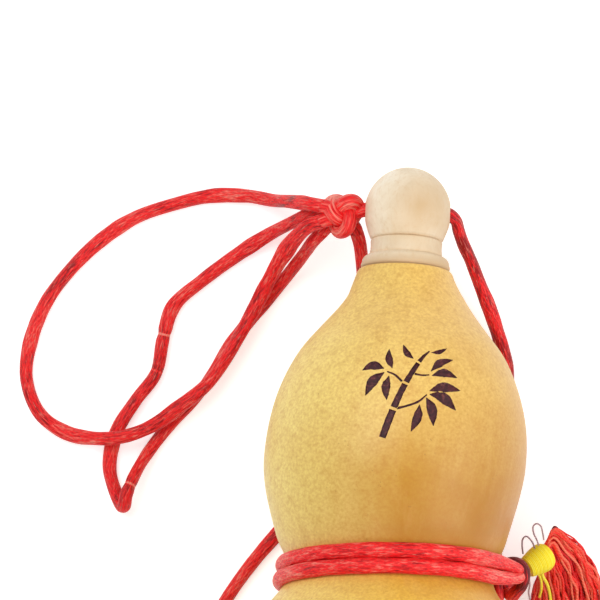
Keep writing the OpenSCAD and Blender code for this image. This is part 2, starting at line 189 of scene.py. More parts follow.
class Shape:
    """Vertices in mm, faces, for each corner a place on the cloth and for each vertex a tone."""

    def __init__(self):
        self.verts, self.faces, self.uvs, self.tones, self.mats = [], [], [], [], []
        self.count = 0

    def add(self, verts, faces, uvs=None, tone=0.5, mat=0):
        verts = np.asarray(verts, float)
        self.verts.append(verts)
        self.faces += [tuple(i + self.count for i in f) for f in faces]
        if uvs is None:
            uvs = [(0.0, 0.0)] * sum(len(f) for f in faces)
        self.uvs += list(uvs)
        self.tones.append(np.broadcast_to(np.asarray(tone, float), (len(verts),)))
        self.mats += [mat] * len(faces)
        self.count += len(verts)

    def build(self, name, materials, sharp=None):
        me = bpy.data.meshes.new(name)
        me.from_pydata((np.vstack(self.verts) * MM).tolist(), [], self.faces)
        uv = me.uv_layers.new(name="cloth")
        uv.data.foreach_set("uv", np.asarray(self.uvs, np.float32).ravel())
        tone = me.attributes.new("tone", "FLOAT", "POINT")
        tone.data.foreach_set("value", np.concatenate(self.tones).astype(np.float32))
        for m in materials:
            me.materials.append(m)
        me.polygons.foreach_set("material_index", self.mats)
        me.polygons.foreach_set("use_smooth", [True] * len(me.polygons))
        if sharp is not None:
            me.set_sharp_from_angle(angle=math.radians(sharp))
        me.update()
        o = bpy.data.objects.new(name, me)
        bpy.context.scene.collection.objects.link(o)
        return o


def add_tube(shape, line, wide, tall=None, sides=14, tone=0.5, mat=0, turn=0.0, floor=None):
    """A tube along a line. wide and tall are its half sizes, and turn is how far its section is
    turned, one number or one for each point. The seam starts below. floor is the lowest height."""
    line = np.asarray(line, float)
    n = len(line)
    wide = np.broadcast_to(np.asarray(wide, float), (n,))
    tall = wide if tall is None else np.broadcast_to(np.asarray(tall, float), (n,))
    turn = np.broadcast_to(np.asarray(turn, float), (n,))[:, None]
    side, normal = carried_frames(line)[1:]
    run = run_along(line)
    a = np.linspace(0, FULL_TURN, sides, endpoint=False)[None, :] - math.pi / 2
    x = wide[:, None] * np.cos(a - turn)
    y = tall[:, None] * np.sin(a - turn)
    x, y = x * np.cos(turn) - y * np.sin(turn), x * np.sin(turn) + y * np.cos(turn)
    ring = line[:, None] + x[..., None] * side[:, None] + y[..., None] * normal[:, None]
    verts = ring.reshape(-1, 3)
    if floor is not None:
        verts[:, 2] = np.maximum(verts[:, 2], floor)
    faces, uvs = [], []
    for i in range(n - 1):
        for k in range(sides):
            m = (k + 1) % sides
            faces.append((i * sides + k, i * sides + m, (i + 1) * sides + m, (i + 1) * sides + k))
            u0, u1 = k / sides, (k + 1) / sides
            uvs += [(u0, run[i]), (u1, run[i]), (u1, run[i + 1]), (u0, run[i + 1])]
    faces.append(tuple(range(sides - 1, -1, -1)))
    faces.append(tuple((n - 1) * sides + k for k in range(sides)))
    uvs += [(0.5, run[0])] * sides + [(0.5, run[-1])] * sides
    tone = np.repeat(np.broadcast_to(np.asarray(tone, float), (n,)), sides)
    shape.add(verts, faces, uvs, tone, mat)


def add_lathe(shape, profile, columns=192, wobble=None):
    """A solid of revolution round the bottle's axis, from a closed profile of [radius, height]."""
    profile = np.asarray(profile, float)
    n = len(profile)
    a = np.linspace(0, FULL_TURN, columns, endpoint=False)
    r, z = profile[:, 0][:, None], profile[:, 1][:, None]
    p = np.stack([r * np.sin(a), -r * np.cos(a), z + 0 * a], axis=-1)
    if wobble is not None:
        p = wobble(p, a)
    verts, faces = p.reshape(-1, 3), []
    poles = [i for i in range(n) if profile[i, 0] < 1e-6]
    for i in range(n - 1):
        for k in range(columns):
            m = (k + 1) % columns
            q = (i * columns + k, i * columns + m, (i + 1) * columns + m, (i + 1) * columns + k)
            if i in poles:
                faces.append((q[0], q[2], q[3]))
            elif i + 1 in poles:
                faces.append((q[0], q[1], q[2]))
            else:
                faces.append(q)
    if n - 1 not in poles:
        for k in range(columns):
            m = (k + 1) % columns
            faces.append(((n - 1) * columns + k, (n - 1) * columns + m, m, k))
    weld = np.arange(n * columns)
    for i in poles:
        weld[i * columns : (i + 1) * columns] = i * columns
    faces = [tuple(int(weld[j]) for j in f) for f in faces]
    used = np.unique([j for f in faces for j in f])
    new = -np.ones(n * columns, int)
    new[used] = np.arange(len(used))
    shape.add(lay(verts[used]), [tuple(int(new[j]) for j in f) for f in faces])


# ---------------------------------------------------------------- materials


def rgb(red, green, blue):
    """A screen colour, 0 to 255, as the shader's own numbers."""
    out = []
    for c in (red, green, blue):
        c = c / 255
        out.append(c / 12.92 if c <= 0.04045 else ((c + 0.055) / 1.055) ** 2.4)
    return (*out, 1.0)


class Nodes:
    """A short way to write a material's nodes."""

    def __init__(self, name):
        self.material = bpy.data.materials.new(name)
        self.material.use_nodes = True
        self.tree = self.material.node_tree
        self.tree.nodes.clear()
        self.out = self.tree.nodes.new("ShaderNodeOutputMaterial")
        self.shader = self.tree.nodes.new("ShaderNodeBsdfPrincipled")
        self.tree.links.new(self.shader.outputs[0], self.out.inputs[0])

    def put(self, socket, value):
        if isinstance(value, bpy.types.NodeSocket):
            self.tree.links.new(value, socket)
        else:
            socket.default_value = value

    def node(self, kind, values=(), **settings):
        n = self.tree.nodes.new("ShaderNode" + kind)
        for key, value in settings.items():
            setattr(n, key, value)
        for key, value in dict(values).items():
            self.put(n.inputs[key], value)
        return n

    def place(self, turn=(0, 0, 0), scale=(1, 1, 1), source="Object"):
        at = self.node("TexCoord").outputs[source]
        return self.node("Mapping", {0: at, 2: turn, 3: scale}).outputs[0]

    def noise(self, vector, scale, detail=3.0, rough=0.5, twist=0.0):
        n = self.node("TexNoise", {"Vector": vector, "Scale": scale, "Detail": detail,
                                   "Roughness": rough, "Distortion": twist})
        return n.outputs[0]

    def ramp(self, value, stops):
        n = self.node("ValToRGB", {0: value})
        e = n.color_ramp.elements
        while len(e) < len(stops):
            e.new(0.5)
        for i, (at, colour) in enumerate(stops):
            e[i].position = at
            e[i].color = colour
        return n.outputs[0]

    def grey(self, value, low, high, to_low=0.0, to_high=1.0):
        n = self.node("MapRange", {0: value, 1: low, 2: high, 3: to_low, 4: to_high})
        return n.outputs[0]

    def math(self, kind, a, b=0.0):
        return self.node("Math", {0: a, 1: b}, operation=kind).outputs[0]

    def mix(self, share, a, b):
        n = self.node("Mix", (), data_type="RGBA", blend_type="MIX")
        self.put(n.inputs[0], share)
        self.put(n.inputs[6], a)
        self.put(n.inputs[7], b)
        return n.outputs[2]

    def spot(self, at, centre, inner, outer, share):
        """A soft round spot: share inside inner, nothing outside outer, in mm."""
        centre = tuple(c * MM for c in centre)
        gap = self.node("VectorMath", {0: at, 1: centre}, operation="DISTANCE").outputs["Value"]
        return self.grey(gap, inner * MM, outer * MM, share, 0.0)

    def bump(self, height, strength, distance, onto=None):
        n = self.node("Bump", {"Strength": strength, "Distance": distance, "Height": height})
        if onto is not None:
            self.put(n.inputs["Normal"], onto)
        return n.outputs[0]

    def finish(self, **values):
        for key, value in values.items():
            self.put(self.shader.inputs[key.replace("_", " ")], value)
        return self.material


LEAN = (math.pi / 2 + TILT, 0.0, 0.0)  # turns row frame directions to the upright bottle's
SPECKS = (  # place in mm, radius, share and colour of the skin's small dark marks
    ((21.4, 29.3, 46.5), 0.42, 0.85, rgb(112, 60, 28)),
    ((1.5, 46.5, 45.2), 0.45, 0.45, rgb(150, 96, 44)),
    ((-16.0, 11.5, 53.0), 0.60, 0.25, rgb(176, 112, 52)),
)


def gourd_skin_material():
    """Dried gourd: warm ochre, mottled, with fine pores. It deepens towards the foot, partly its own
    colour and partly painted shade. Painted shade also darkens a band above the waist and the right side,
    and painted light pales the upper bulb and the left side.
    """
    m = Nodes("gourd_skin")
    at = m.place()
    upright = m.place(turn=LEAN)
    split = m.node("SeparateXYZ", {0: at})
    # light and shade painted along the bottle: darker towards the foot, partly the skin's own colour; a
    # painted-shade band just above the waist; painted light on the upper bulb
    along = m.grey(split.outputs[1], -0.085, 0.062)
    base = m.ramp(along, [(0.0, rgb(174, 108, 14)), (0.48, rgb(242, 194, 72)),
                          (0.58, rgb(180, 118, 20)), (0.66, rgb(196, 140, 40)),
                          (0.80, rgb(250, 212, 120)), (1.0, rgb(246, 204, 108))])
    across = m.grey(split.outputs[0], -0.026, 0.03)
    # painted shade on the right side, then painted light on the left side
    base = m.mix(m.grey(across, 0.5, 1.0, 0.0, 0.55), base, rgb(178, 118, 32))
    base = m.mix(m.grey(across, 0.0, 0.5, 0.9, 0.0), base, rgb(255, 236, 140))
    broad = m.noise(at, 34.0, 4.0, 0.55, 0.6)
    base = m.mix(m.grey(broad, 0.35, 0.75, 0.0, 0.26), base, rgb(246, 208, 112))
    blot = m.noise(at, 95.0, 5.0, 0.6, 0.3)
    base = m.mix(m.grey(blot, 0.5, 0.8, 0.0, 0.24), base, rgb(196, 122, 34))
    mottle = m.noise(at, 430.0, 4.0, 0.6)
    base = m.mix(m.grey(mottle, 0.5, 0.75, 0.0, 0.32), base, rgb(190, 122, 34))
    streak = m.node("Mapping", {0: upright, 3: (1.0, 1.0, 0.14)}).outputs[0]
    streaks = m.noise(streak, 260.0, 4.0, 0.6)
    base = m.mix(m.grey(streaks, 0.5, 0.8, 0.0, 0.18), base, rgb(244, 208, 130))
    fine = m.noise(at, 1500.0, 3.0, 0.6)
    base = m.mix(m.grey(fine, 0.35, 0.7, 0.0, 0.38), base, rgb(188, 116, 32))
    pores = m.node("TexVoronoi", {"Vector": at, "Scale": 900.0}).outputs[0]
    pore = m.grey(pores, 0.06, 0.2, 1.0, 0.0)
    where = m.grey(m.noise(at, 210.0, 2.0), 0.55, 0.68)
    base = m.mix(m.math("MULTIPLY", m.math("MULTIPLY", pore, where), 0.5), base, rgb(156, 98, 42))
    for centre, radius, share, tint in SPECKS:
        base = m.mix(m.spot(at, centre, radius * 0.5, radius * 1.3, share), base, tint)
    rough = m.grey(broad, 0.3, 0.7, 0.38, 0.5)
    rough = m.math("ADD", rough, m.grey(fine, 0.3, 0.7, -0.03, 0.05))
    bump = m.bump(m.noise(at, 60.0, 3.0), 0.25, 0.0012)
    bump = m.bump(fine, 0.16, 0.00012, bump)
    bump = m.bump(pore, 0.12, -0.0001, bump)
    return m.finish(Base_Color=base, Roughness=rough, Normal=bump, Coat_Weight=0.22,
                    Coat_Roughness=0.46, Specular_IOR_Level=0.32, Sheen_Weight=0.05,
                    Sheen_Roughness=0.45, Sheen_Tint=(1.0, 0.93, 0.8, 1.0))


def gourd_inside_material():
    """The pithy, darker wall inside and at the cut mouth."""
    m = Nodes("gourd_inside")
    at = m.place()
    fibre = m.noise(at, 420.0, 6.0, 0.65, 0.8)
    base = m.ramp(fibre, [(0.25, rgb(150, 108, 62)), (0.5, rgb(186, 148, 96)),
                          (0.8, rgb(214, 184, 136))])
    return m.finish(Base_Color=base, Roughness=0.85, Normal=m.bump(fibre, 0.6, 0.0006))


def burnt_material():
    """Carved and stained lines: dark purple brown with a scorched, uneven floor."""
    m = Nodes("burnt_carving")
    at = m.place()
    grain = m.noise(at, 1300.0, 4.0, 0.65)
    patch = m.noise(at, 420.0, 3.0, 0.6)
    base = m.ramp(grain, [(0.3, rgb(42, 8, 16)), (0.55, rgb(72, 22, 32)),
                          (0.78, rgb(140, 74, 64))])
    base = m.mix(m.grey(patch, 0.5, 0.75, 0.0, 0.55), base, rgb(112, 44, 50))
    return m.finish(Base_Color=base, Roughness=0.6, Normal=m.bump(grain, 0.7, 0.0002))


def wood_material():
    """Pale turned wood: cream with fine specks, a warmer patch on the ball that is partly painted shade
    on its right, more painted shade towards the right and at the flange's foot, faint tool rings.
    """
    m = Nodes("turned_wood")
    at = m.place()
    upright = m.place(turn=LEAN)
    cloud = m.noise(at, 120.0, 4.0, 0.6, 0.5)
    base = m.ramp(cloud, [(0.3, rgb(238, 219, 190)), (0.5, rgb(248, 232, 206)),
                          (0.72, rgb(254, 243, 224))])
    # tan patch on the ball's right: partly the wood's own mottling, partly painted shade
    base = m.mix(m.spot(at, (2.6, 72.0, 29.2), 0.6, 8.5, 0.75), base, rgb(206, 168, 116))
    base = m.mix(m.spot(at, (-1.6, 66.0, 28.0), 0.4, 4.6, 0.4), base, rgb(214, 180, 134))
    high = m.node("SeparateXYZ", {0: upright}).outputs[2]
    mouth = (MOUTH_Z + SHIFT * COS - HEIGHT * SIN) * MM
    # painted shade: darker tan towards the flange's foot, where it curves under against the gourd
    base = m.mix(m.grey(high, mouth + 0.4 * MM, mouth + 2.6 * MM, 0.85, 0.0), base, rgb(208, 168, 120))
    base = m.mix(m.grey(high, mouth + 6.9 * MM, mouth + 7.1 * MM, 0.30, 0.0), base, rgb(212, 182, 140))
    # painted shade: darker towards the right side
    right = m.node("SeparateXYZ", {0: at}).outputs[0]
    base = m.mix(m.grey(right, 1.0 * MM, 9.0 * MM, 0.0, 0.6), base, rgb(204, 170, 124))
    grain = m.node("Mapping", {0: upright, 3: (1.0, 1.0, 0.45)}).outputs[0]
    fleck = m.noise(grain, 1500.0, 4.0, 0.65)
    base = m.mix(m.grey(fleck, 0.5, 0.72, 0.0, 0.36), base, rgb(220, 184, 138))
    drift = m.noise(m.node("Mapping", {0: upright, 3: (1.0, 1.0, 0.2)}).outputs[0], 300.0, 3.0, 0.6)
    base = m.mix(m.grey(drift, 0.52, 0.78, 0.0, 0.22), base, rgb(226, 194, 150))
    rings = m.node("TexWave", {"Vector": upright, "Scale": 900.0, "Distortion": 2.0, "Detail": 2.0,
                               "Detail Scale": 1.5}, bands_direction="Z").outputs[1]
    bump = m.bump(fleck, 0.22, 0.00012)
    bump = m.bump(rings, 0.05, 0.0001, bump)
    return m.finish(Base_Color=base, Roughness=m.grey(fleck, 0.3, 0.7, 0.5, 0.64), Normal=bump,
                    Specular_IOR_Level=0.35)


def cork_material():
    """Cork: brown granules with dark pits."""
    m = Nodes("cork")
    at = m.place()
    cells = m.node("TexVoronoi", {"Vector": at, "Scale": 1100.0}).outputs
    tint = m.ramp(m.noise(at, 700.0, 4.0, 0.7), [(0.3, rgb(120, 78, 44)), (0.55, rgb(178, 130, 82)),
                                                 (0.8, rgb(204, 162, 112))])
    base = m.mix(m.grey(cells[0], 0.0, 0.35, 0.5, 0.0), tint, rgb(84, 52, 30))
    return m.finish(Base_Color=base, Roughness=0.9, Normal=m.bump(cells[0], 0.5, 0.0003))


WEAVE_ROUND = 12 * FULL_TURN  # twelve yarns round a cord
WEAVE_ALONG = 2.6  # how fast the yarns slant, in radians for each mm


def cord_material(name, dark, mid, light):
    """Satin knotting cord: fine slanting yarns with painted shade in their gaps, lustrous hairs, and
    bright flecks that are painted glints.
    """
    m = Nodes(name)
    cloth = m.place(source="UV")
    tone = m.node("Attribute", (), attribute_name="tone").outputs[2]
    split = m.node("SeparateXYZ", {0: cloth})
    around = m.math("MULTIPLY", split.outputs[0], WEAVE_ROUND)
    along = m.math("MULTIPLY", split.outputs[1], WEAVE_ALONG)
    sway = m.noise(m.node("Mapping", {0: cloth, 3: (5.0, 0.5, 1.0)}).outputs[0], 1.0, 2.0)
    around = m.math("ADD", around, m.math("MULTIPLY", sway, 9.0))
    rising = m.math("SINE", m.math("ADD", around, along))
    falling = m.math("SINE", m.math("SUBTRACT", around, along))
    weave = m.math("MAXIMUM", rising, falling)

    def stretched(across, length, detail, rough):
        place = m.node("Mapping", {0: cloth, 3: (across, length, 1.0)}).outputs[0]
        return m.noise(place, 1.0, detail, rough, 0.4)

    hairs, glint_flecks = stretched(19.0, 0.26, 5.0, 0.68), stretched(30.0, 0.4, 4.0, 0.65)
    patches = stretched(3.0, 0.10, 2.0, 0.5)
    level = m.math("ADD", m.math("MULTIPLY", hairs, 0.7), m.math("MULTIPLY", patches, 0.3))
    level = m.math("ADD", level, m.math("MULTIPLY", m.math("SUBTRACT", tone, 0.5), 0.35))
    base = m.ramp(level, [(0.38, dark), (0.48, mid), (0.54, mid), (0.66, light)])
    # painted shade in the gaps between the yarns
    base = m.mix(m.grey(weave, -0.3, 0.8, 0.26, 0.0), base, dark)
    # painted glints: bright flecks in the light colour
    base = m.mix(m.grey(glint_flecks, 0.55, 0.68, 0.0, 0.6), base, light)
    rough = m.grey(hairs, 0.3, 0.7, 0.36, 0.55)
    bump = m.bump(weave, 0.35, 0.0001)
    bump = m.bump(hairs, 0.9, 0.0003, bump)
    return m.finish(Base_Color=base, Roughness=rough, Normal=bump, Sheen_Weight=0.03,
                    Sheen_Roughness=0.4, Sheen_Tint=(1.0, 0.4, 0.4, 1.0), Anisotropic=0.4,
                    Specular_IOR_Level=0.28)


def thread_material(name, dark, mid, light, relief=1.0):
    """Loose twisted thread: each strand its own tone, with a fine twist along it whose grooves carry
    painted shade.
    """
    m = Nodes(name)
    cloth = m.place(source="UV")
    tone = m.node("Attribute", (), attribute_name="tone").outputs[2]
    split = m.node("SeparateXYZ", {0: cloth})
    around = m.math("MULTIPLY", split.outputs[0], 2 * FULL_TURN)
    twist = m.math("SINE", m.math("ADD", around, m.math("MULTIPLY", split.outputs[1], 6.5)))
    place = m.node("Mapping", {0: cloth, 3: (9.0, 1.2, 1.0)}).outputs[0]
    hairs = m.noise(place, 1.0, 3.0, 0.6)
    level = m.math("ADD", m.math("MULTIPLY", tone, 0.7), m.math("MULTIPLY", hairs, 0.3))
    base = m.ramp(level, [(0.12, dark), (0.42, mid), (0.88, light)])
    # painted shade in the twist's grooves
    base = m.mix(m.grey(twist, -1.0, 0.2, 0.2 * relief, 0.0), base, dark)
    bump = m.bump(twist, 0.45 * relief, 0.0001)
    bump = m.bump(hairs, 0.3 * relief, 0.00008, bump)
    return m.finish(Base_Color=base, Roughness=0.42, Normal=bump, Sheen_Weight=0.1,
                    Sheen_Roughness=0.35, Sheen_Tint=light, Anisotropic=0.3, Specular_IOR_Level=0.35)


SKIN = gourd_skin_material()
INSIDE = gourd_inside_material()
BURNT = burnt_material()
WOOD = wood_material()
CORK = cork_material()
CORD = cord_material("red_cord", rgb(152, 0, 10), rgb(250, 30, 34), rgb(255, 144, 128))
# a darker copy of the red cord: painted shade, used for the waist hitch and the tassels' hangers
HITCH = cord_material("red_cord_painted_shade", rgb(96, 0, 10), rgb(216, 10, 26), rgb(255, 84, 76))
TASSEL = thread_material("red_thread", rgb(172, 0, 8), rgb(255, 24, 22), rgb(255, 136, 104))
YELLOW = thread_material("yellow_thread", rgb(250, 206, 16), rgb(255, 236, 30), rgb(255, 250, 96),
                         0.25)
STRAY = thread_material("stray_thread", rgb(128, 98, 108), rgb(168, 140, 148), rgb(214, 190, 194))
DUSK = thread_material("dark_thread", rgb(84, 18, 26), rgb(128, 34, 42), rgb(176, 66, 70))

# ---------------------------------------------------------------- gourd

OUTLINE = [  # height, radius and slope
    (LOWER_Z, LOWER_R, 0.0), (WAIST_Z - 8.0, WAIST_R + 4.4, -0.9), (WAIST_Z, WAIST_R, 0.0),
    (WAIST_Z + 8.0, WAIST_R + 2.9, 0.29), (UPPER_Z, UPPER_R, 0.0),
    (MOUTH_Z - 16.0, MOUTH_R + 9.9, -0.78), (MOUTH_Z, MOUTH_R, MOUTH_SLOPE),
]
BOTTOM_DEPTH = LOWER_Z / math.sqrt(1 - (FOOT_R / LOWER_R) ** 2)
COLUMNS = 300


def gourd_r(z):
    """Outer radius of the gourd at a height above the foot, in mm."""
    z = np.asarray(z, float)
    low = LOWER_R * np.sqrt(np.clip(1 - ((LOWER_Z - z) / BOTTOM_DEPTH) ** 2, 0, 1))
    high = np.zeros_like(z)
    for (z0, r0, m0), (z1, r1, m1) in zip(OUTLINE, OUTLINE[1:]):
        h = z1 - z0
        s = (z - z0) / h
        r = ((2 * s**3 - 3 * s**2 + 1) * r0 + (s**3 - 2 * s**2 + s) * h * m0
             + (3 * s**2 - 2 * s**3) * r1 + (s**3 - s**2) * h * m1)
        high = np.where((z >= z0 - 1e-9) & (z <= z1 + 1e-9), r, high)
    return np.where(z < LOWER_Z, low, high)


def natural(p, a):
    """Grows the plain outline a little out of true, least at the table, waist and mouth."""
    z = p[..., 2]

    def bell(at, width):
        return np.exp(-(((z - at) / width) ** 2))

    hold = np.clip((MOUTH_Z - 0.8 - z) / 5.0, 0, 1)
    bend = 0.33 * bell(120, 12) - 0.66 * bell(84, 15) + 0.23 * bell(34, 22) + 0.4 * bell(131.5, 5)
    p[..., 0] += bend * hold
    front = (1 + np.cos(a))[None, :] / 2
    calm = 1 - 0.85 * bell(WAIST_Z, 7)
    lump = (0.24 * np.sin(2 * a + 0.7)[None, :] * bell(97, 18)
            + 0.18 * np.sin(3 * a - 0.4)[None, :] * bell(112, 12)
            + 0.30 * np.sin(2 * a - 0.9)[None, :] * bell(36, 22))
    ripple = 0.10 * np.sin(z / 4.1 + 2.0 * np.sin(a)[None, :]) * bell(100, 26)
    grow = (lump + ripple) * calm * (0.15 + 0.85 * front) + 0.25 * bell(120, 5) - 0.25 * bell(131, 4)
    scale = 1 + grow * hold / np.maximum(np.hypot(p[..., 0], p[..., 1]), 8.0)
    p[..., 0] *= scale
    p[..., 1] *= scale
    return p


def gourd_profile():
    """Outer line from the middle of the foot to the mouth, then back down inside."""
    scar = [(0.0, 0.95), (0.7, 0.72), (1.5, 0.92), (2.4, 0.78), (3.1, 0.6), (3.4, 0.25),
            (3.8, 0.04), (5.5, 0.0), (8.0, 0.0), (10.5, 0.0), (11.6, 0.02)]
    t0 = math.acos(LOWER_Z / BOTTOM_DEPTH)
    low = [(LOWER_R * math.sin(t), LOWER_Z - BOTTOM_DEPTH * math.cos(t))
           for t in np.linspace(t0, math.pi / 2, 58)]
    zs = np.linspace(LOWER_Z, MOUTH_Z, 182)[1:-1]
    outer = scar + low + [(float(gourd_r(z)), float(z)) for z in zs]
    outer += [(MOUTH_R, MOUTH_Z - 0.25), (MOUTH_R - 0.25, MOUTH_Z)]
    rim = [(8.8, MOUTH_Z), (BORE_R + 0.2, MOUTH_Z), (BORE_R, MOUTH_Z - 0.2), (BORE_R, MOUTH_Z - 7)]
    inner = []
    for z in np.linspace(MOUTH_Z - 9, LOWER_Z, 60):
        slope = float(gourd_r(z) - gourd_r(z - 0.1)) / 0.1
        n = math.sqrt(1 + slope * slope)
        r = float(gourd_r(z)) - WALL / n
        if r > BORE_R + 0.1:
            inner.append((r, z + WALL * slope / n))
    base = [((LOWER_R - WALL) * math.sin(t), LOWER_Z - (LOWER_Z - WALL) * math.cos(t))
            for t in np.linspace(math.pi / 2, 0, 24)[1:]]
    base[-1] = (0.0, WALL)
    return outer + rim + inner + base, len(outer)


SPRIG_MIDDLE = (2.9, 105.3)  # mm across and along the bottle


def surface_point(across, up, lift):
    """A point on the gourd's front, from mm across and along it, lifted off its skin."""
    z = SPRIG_MIDDLE[1] + up
    r = float(gourd_r(z))
    phi = (SPRIG_MIDDLE[0] + across) / r
    slope = float(gourd_r(z + 0.1) - gourd_r(z - 0.1)) / 0.2
    n = math.sqrt(1 + slope * slope)
    p = np.array([[[r * math.sin(phi), -r * math.cos(phi), z]]])
    p = natural(p, np.array([phi]))[0, 0]
    return p + lift / n * np.array([math.sin(phi), -math.cos(phi), -slope])


def add_stroke(shape, line, widths, depth=0.42):
    """One carved stroke as a closed cutter: a line on the skin, and half widths along it."""
    line = even_2d(line, len(widths) * 3)
    w = np.interp(np.linspace(0, 1, len(line)), np.linspace(0, 1, len(widths)), widths)
    rag = np.array([noise.noise(Vector((p[0] * 1.7, p[1] * 1.7, 3.1))) for p in line])
    w = np.maximum(w * (1 + 0.16 * rag), 0.035)
    ahead = np.gradient(line, axis=0)
    ahead /= np.linalg.norm(ahead, axis=1, keepdims=True)
    side = np.c_[-ahead[:, 1], ahead[:, 0]]
    section = [(-1.0, 0.9), (-1.0, 0.0), (-0.62, -1.0), (0.62, -1.0), (1.0, 0.0), (1.0, 0.9)]
    verts = []
    for i in range(len(line)):
        for s, d in section:
            q = line[i] + side[i] * w[i] * s
            sink = depth * min(1.0, w[i] / 0.45)
            verts.append(surface_point(q[0], q[1], d if d > 0 else d * sink))
    k = len(section)
    faces = []
    for i in range(len(line) - 1):
        for j in range(k):
            m = (j + 1) % k
            faces.append((i * k + j, i * k + m, (i + 1) * k + m, (i + 1) * k + j))
    faces.append(tuple(range(k - 1, -1, -1)))
    faces.append(tuple((len(line) - 1) * k + j for j in range(k)))
    shape.add(lay(verts), faces)


def even_2d(points, count):
    """A smooth flat line through a few points."""
    p = np.asarray([(x, y, 0.0) for x, y in points], float)
    line = smooth_path(p, 0.15) if len(p) > 2 else even(p, 0.15)
    return at_shares(line, np.linspace(0, 1, count))[:, :2]


# A bamboo sprig: stalk pieces, twigs and leaves. Each is its line in mm across and along
# the bottle from the sprig's middle, and half widths along it.
STALK = [
    ([(-5.9, -9.8), (-4.9, -6.2), (-4.1, -3.6)], (0.76, 0.86, 0.80)),
    ([(-3.9, -3.0), (-2.8, 0.2), (-1.9, 2.4)], (0.78, 0.72, 0.70)),
    ([(-1.7, 2.9), (-0.4, 5.6), (0.6, 7.5)], (0.68, 0.58, 0.52)),
    ([(0.8, 7.9), (1.8, 9.4), (2.9, 10.6)], (0.48, 0.36, 0.16)),
]
TWIGS = [
    ([(-3.2, -3.2), (-1.0, -2.5), (1.3, -1.4), (3.0, 0.3)], (0.28, 0.26, 0.24, 0.16)),
    ([(-2.6, 3.0), (-4.3, 4.5), (-6.0, 5.2)], (0.26, 0.24, 0.16)),
    ([(0.0, 4.9), (1.7, 4.7), (3.2, 4.9)], (0.24, 0.22, 0.16)),
]
LEAVES = [
    ([(3.6, 0.4), (6.3, 0.1), (9.8, -2.6)], 1.30),
    ([(3.5, 1.2), (6.6, 2.3), (10.5, 2.0)], 1.20),
    ([(2.9, -0.4), (4.3, -2.8), (5.0, -6.6)], 1.20),
    ([(1.6, -2.1), (1.4, -4.8), (0.2, -8.2)], 1.04),
    ([(-6.6, 5.0), (-8.9, 3.0), (-10.4, -0.4)], 1.20),
    ([(-6.7, 5.9), (-9.3, 6.6), (-11.6, 5.5)], 1.04),
    ([(-5.5, 4.2), (-6.0, 1.6), (-5.6, -1.4)], 1.00),
    ([(-4.9, 6.0), (-5.8, 8.3), (-5.9, 10.6)], 0.86),
    ([(3.8, 4.8), (6.5, 5.7), (9.6, 4.9)], 1.00),
    ([(3.5, 5.8), (5.5, 8.0), (8.4, 9.1)], 0.92),
    ([(-0.5, 8.5), (-2.0, 9.8), (-2.9, 11.8)], 0.72),
    ([(3.3, 10.3), (5.0, 10.6), (6.8, 11.7)], 0.56),
]
LEAF_WIDTHS = (0.08, 0.42, 0.82, 1.0, 0.92, 0.7, 0.4, 0.06)


def carve(gourd):
    """Cuts the sprig into the gourd's front; the cut faces take the burnt material."""
    cutter = Shape()
    for line, widths in STALK + TWIGS:
        add_stroke(cutter, line, widths)
    for line, width in LEAVES:
        add_stroke(cutter, line, [width * w for w in LEAF_WIDTHS])
    tool = cutter.build("sprig_cutter", [BURNT])
    face_outwards(tool.data)
    cut(gourd, tool)


def cut(body, tool):
    """Takes the tool's shape out of the body, and the tool away."""
    step = body.modifiers.new("cut", "BOOLEAN")
    step.operation = "DIFFERENCE"
    step.solver = "MANIFOLD"
    step.object = tool
    bpy.context.view_layer.update()
    whole = body.evaluated_get(bpy.context.evaluated_depsgraph_get())
    done = bpy.data.meshes.new_from_object(whole)
    body.modifiers.clear()
    body.data = done
    bpy.data.objects.remove(tool)


def build_gourd():
    """The hollow gourd with its carved sprig."""
    profile, split = gourd_profile()
    shape = Shape()
    add_lathe(shape, profile, COLUMNS, wobble=natural)
    skin_faces = (split - 1) * COLUMNS
    shape.mats = [0] * skin_faces + [1] * (len(shape.mats) - skin_faces)
    gourd = shape.build("gourd_body", [SKIN, INSIDE, BURNT])
    face_outwards(gourd.data)
    carve(gourd)
    gourd.data.set_sharp_from_angle(angle=math.radians(38))
    gourd.data.name = "gourd_body"
    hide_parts("gourd_shell")
    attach(gourd, "bottle")


build_gourd()

# ---------------------------------------------------------------- collar, ball and cork

JOINT_Z = MOUTH_Z + 7.0
BALL_R, BASE_R, BALL_H, HOLE_H = 9.65, 7.95, 16.6, 6.5
HOLE_R = 1.8
CORK_R, STEM_R = 4.9, 3.3


def arc(cx, cz, rx, rz, a0, a1, n):
    """Points of an ellipse's arc in the profile, angles in degrees from outward to up."""
    return [(cx + rx * math.cos(math.radians(a)), cz + rz * math.sin(math.radians(a)))
            for a in np.linspace(a0, a1, n)]


def build_collar():
    """Flange bead, groove, neck ring and the sleeve in the mouth."""
    m = MOUTH_Z
    profile = [(5.25, m - 8.0), (7.0, m - 8.0), (7.3, m - 7.7), (7.3, m - 0.05), (8.9, m), (9.4, m + 0.1)]
    profile += arc(9.15, m + 1.0, 0.75, 0.85, -60, 40, 9)
    profile += arc(8.15, m + 1.55, 1.62, 1.75, 22, 78, 9)
    profile += [(8.26, m + 3.30), (8.02, m + 3.40), (7.92, m + 3.55), (8.0, m + 3.72), (8.04, m + 4.0)]
    profile += [(7.94, m + 4.8), (7.9, m + 5.5), (7.94, m + 6.2), (7.98, m + 6.55)]
    profile += [(7.9, m + 6.8), (7.66, m + 6.96), (7.4, m + 7.0), (5.3, m + 7.0), (5.0, m + 6.7)]
    profile += [(5.0, m - 7.75)]
    shape = Shape()
    add_lathe(shape, profile, 220)
    o = shape.build("collar", [WOOD], sharp=42)
    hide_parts("mouth_collar")
    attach(o, "bottle")


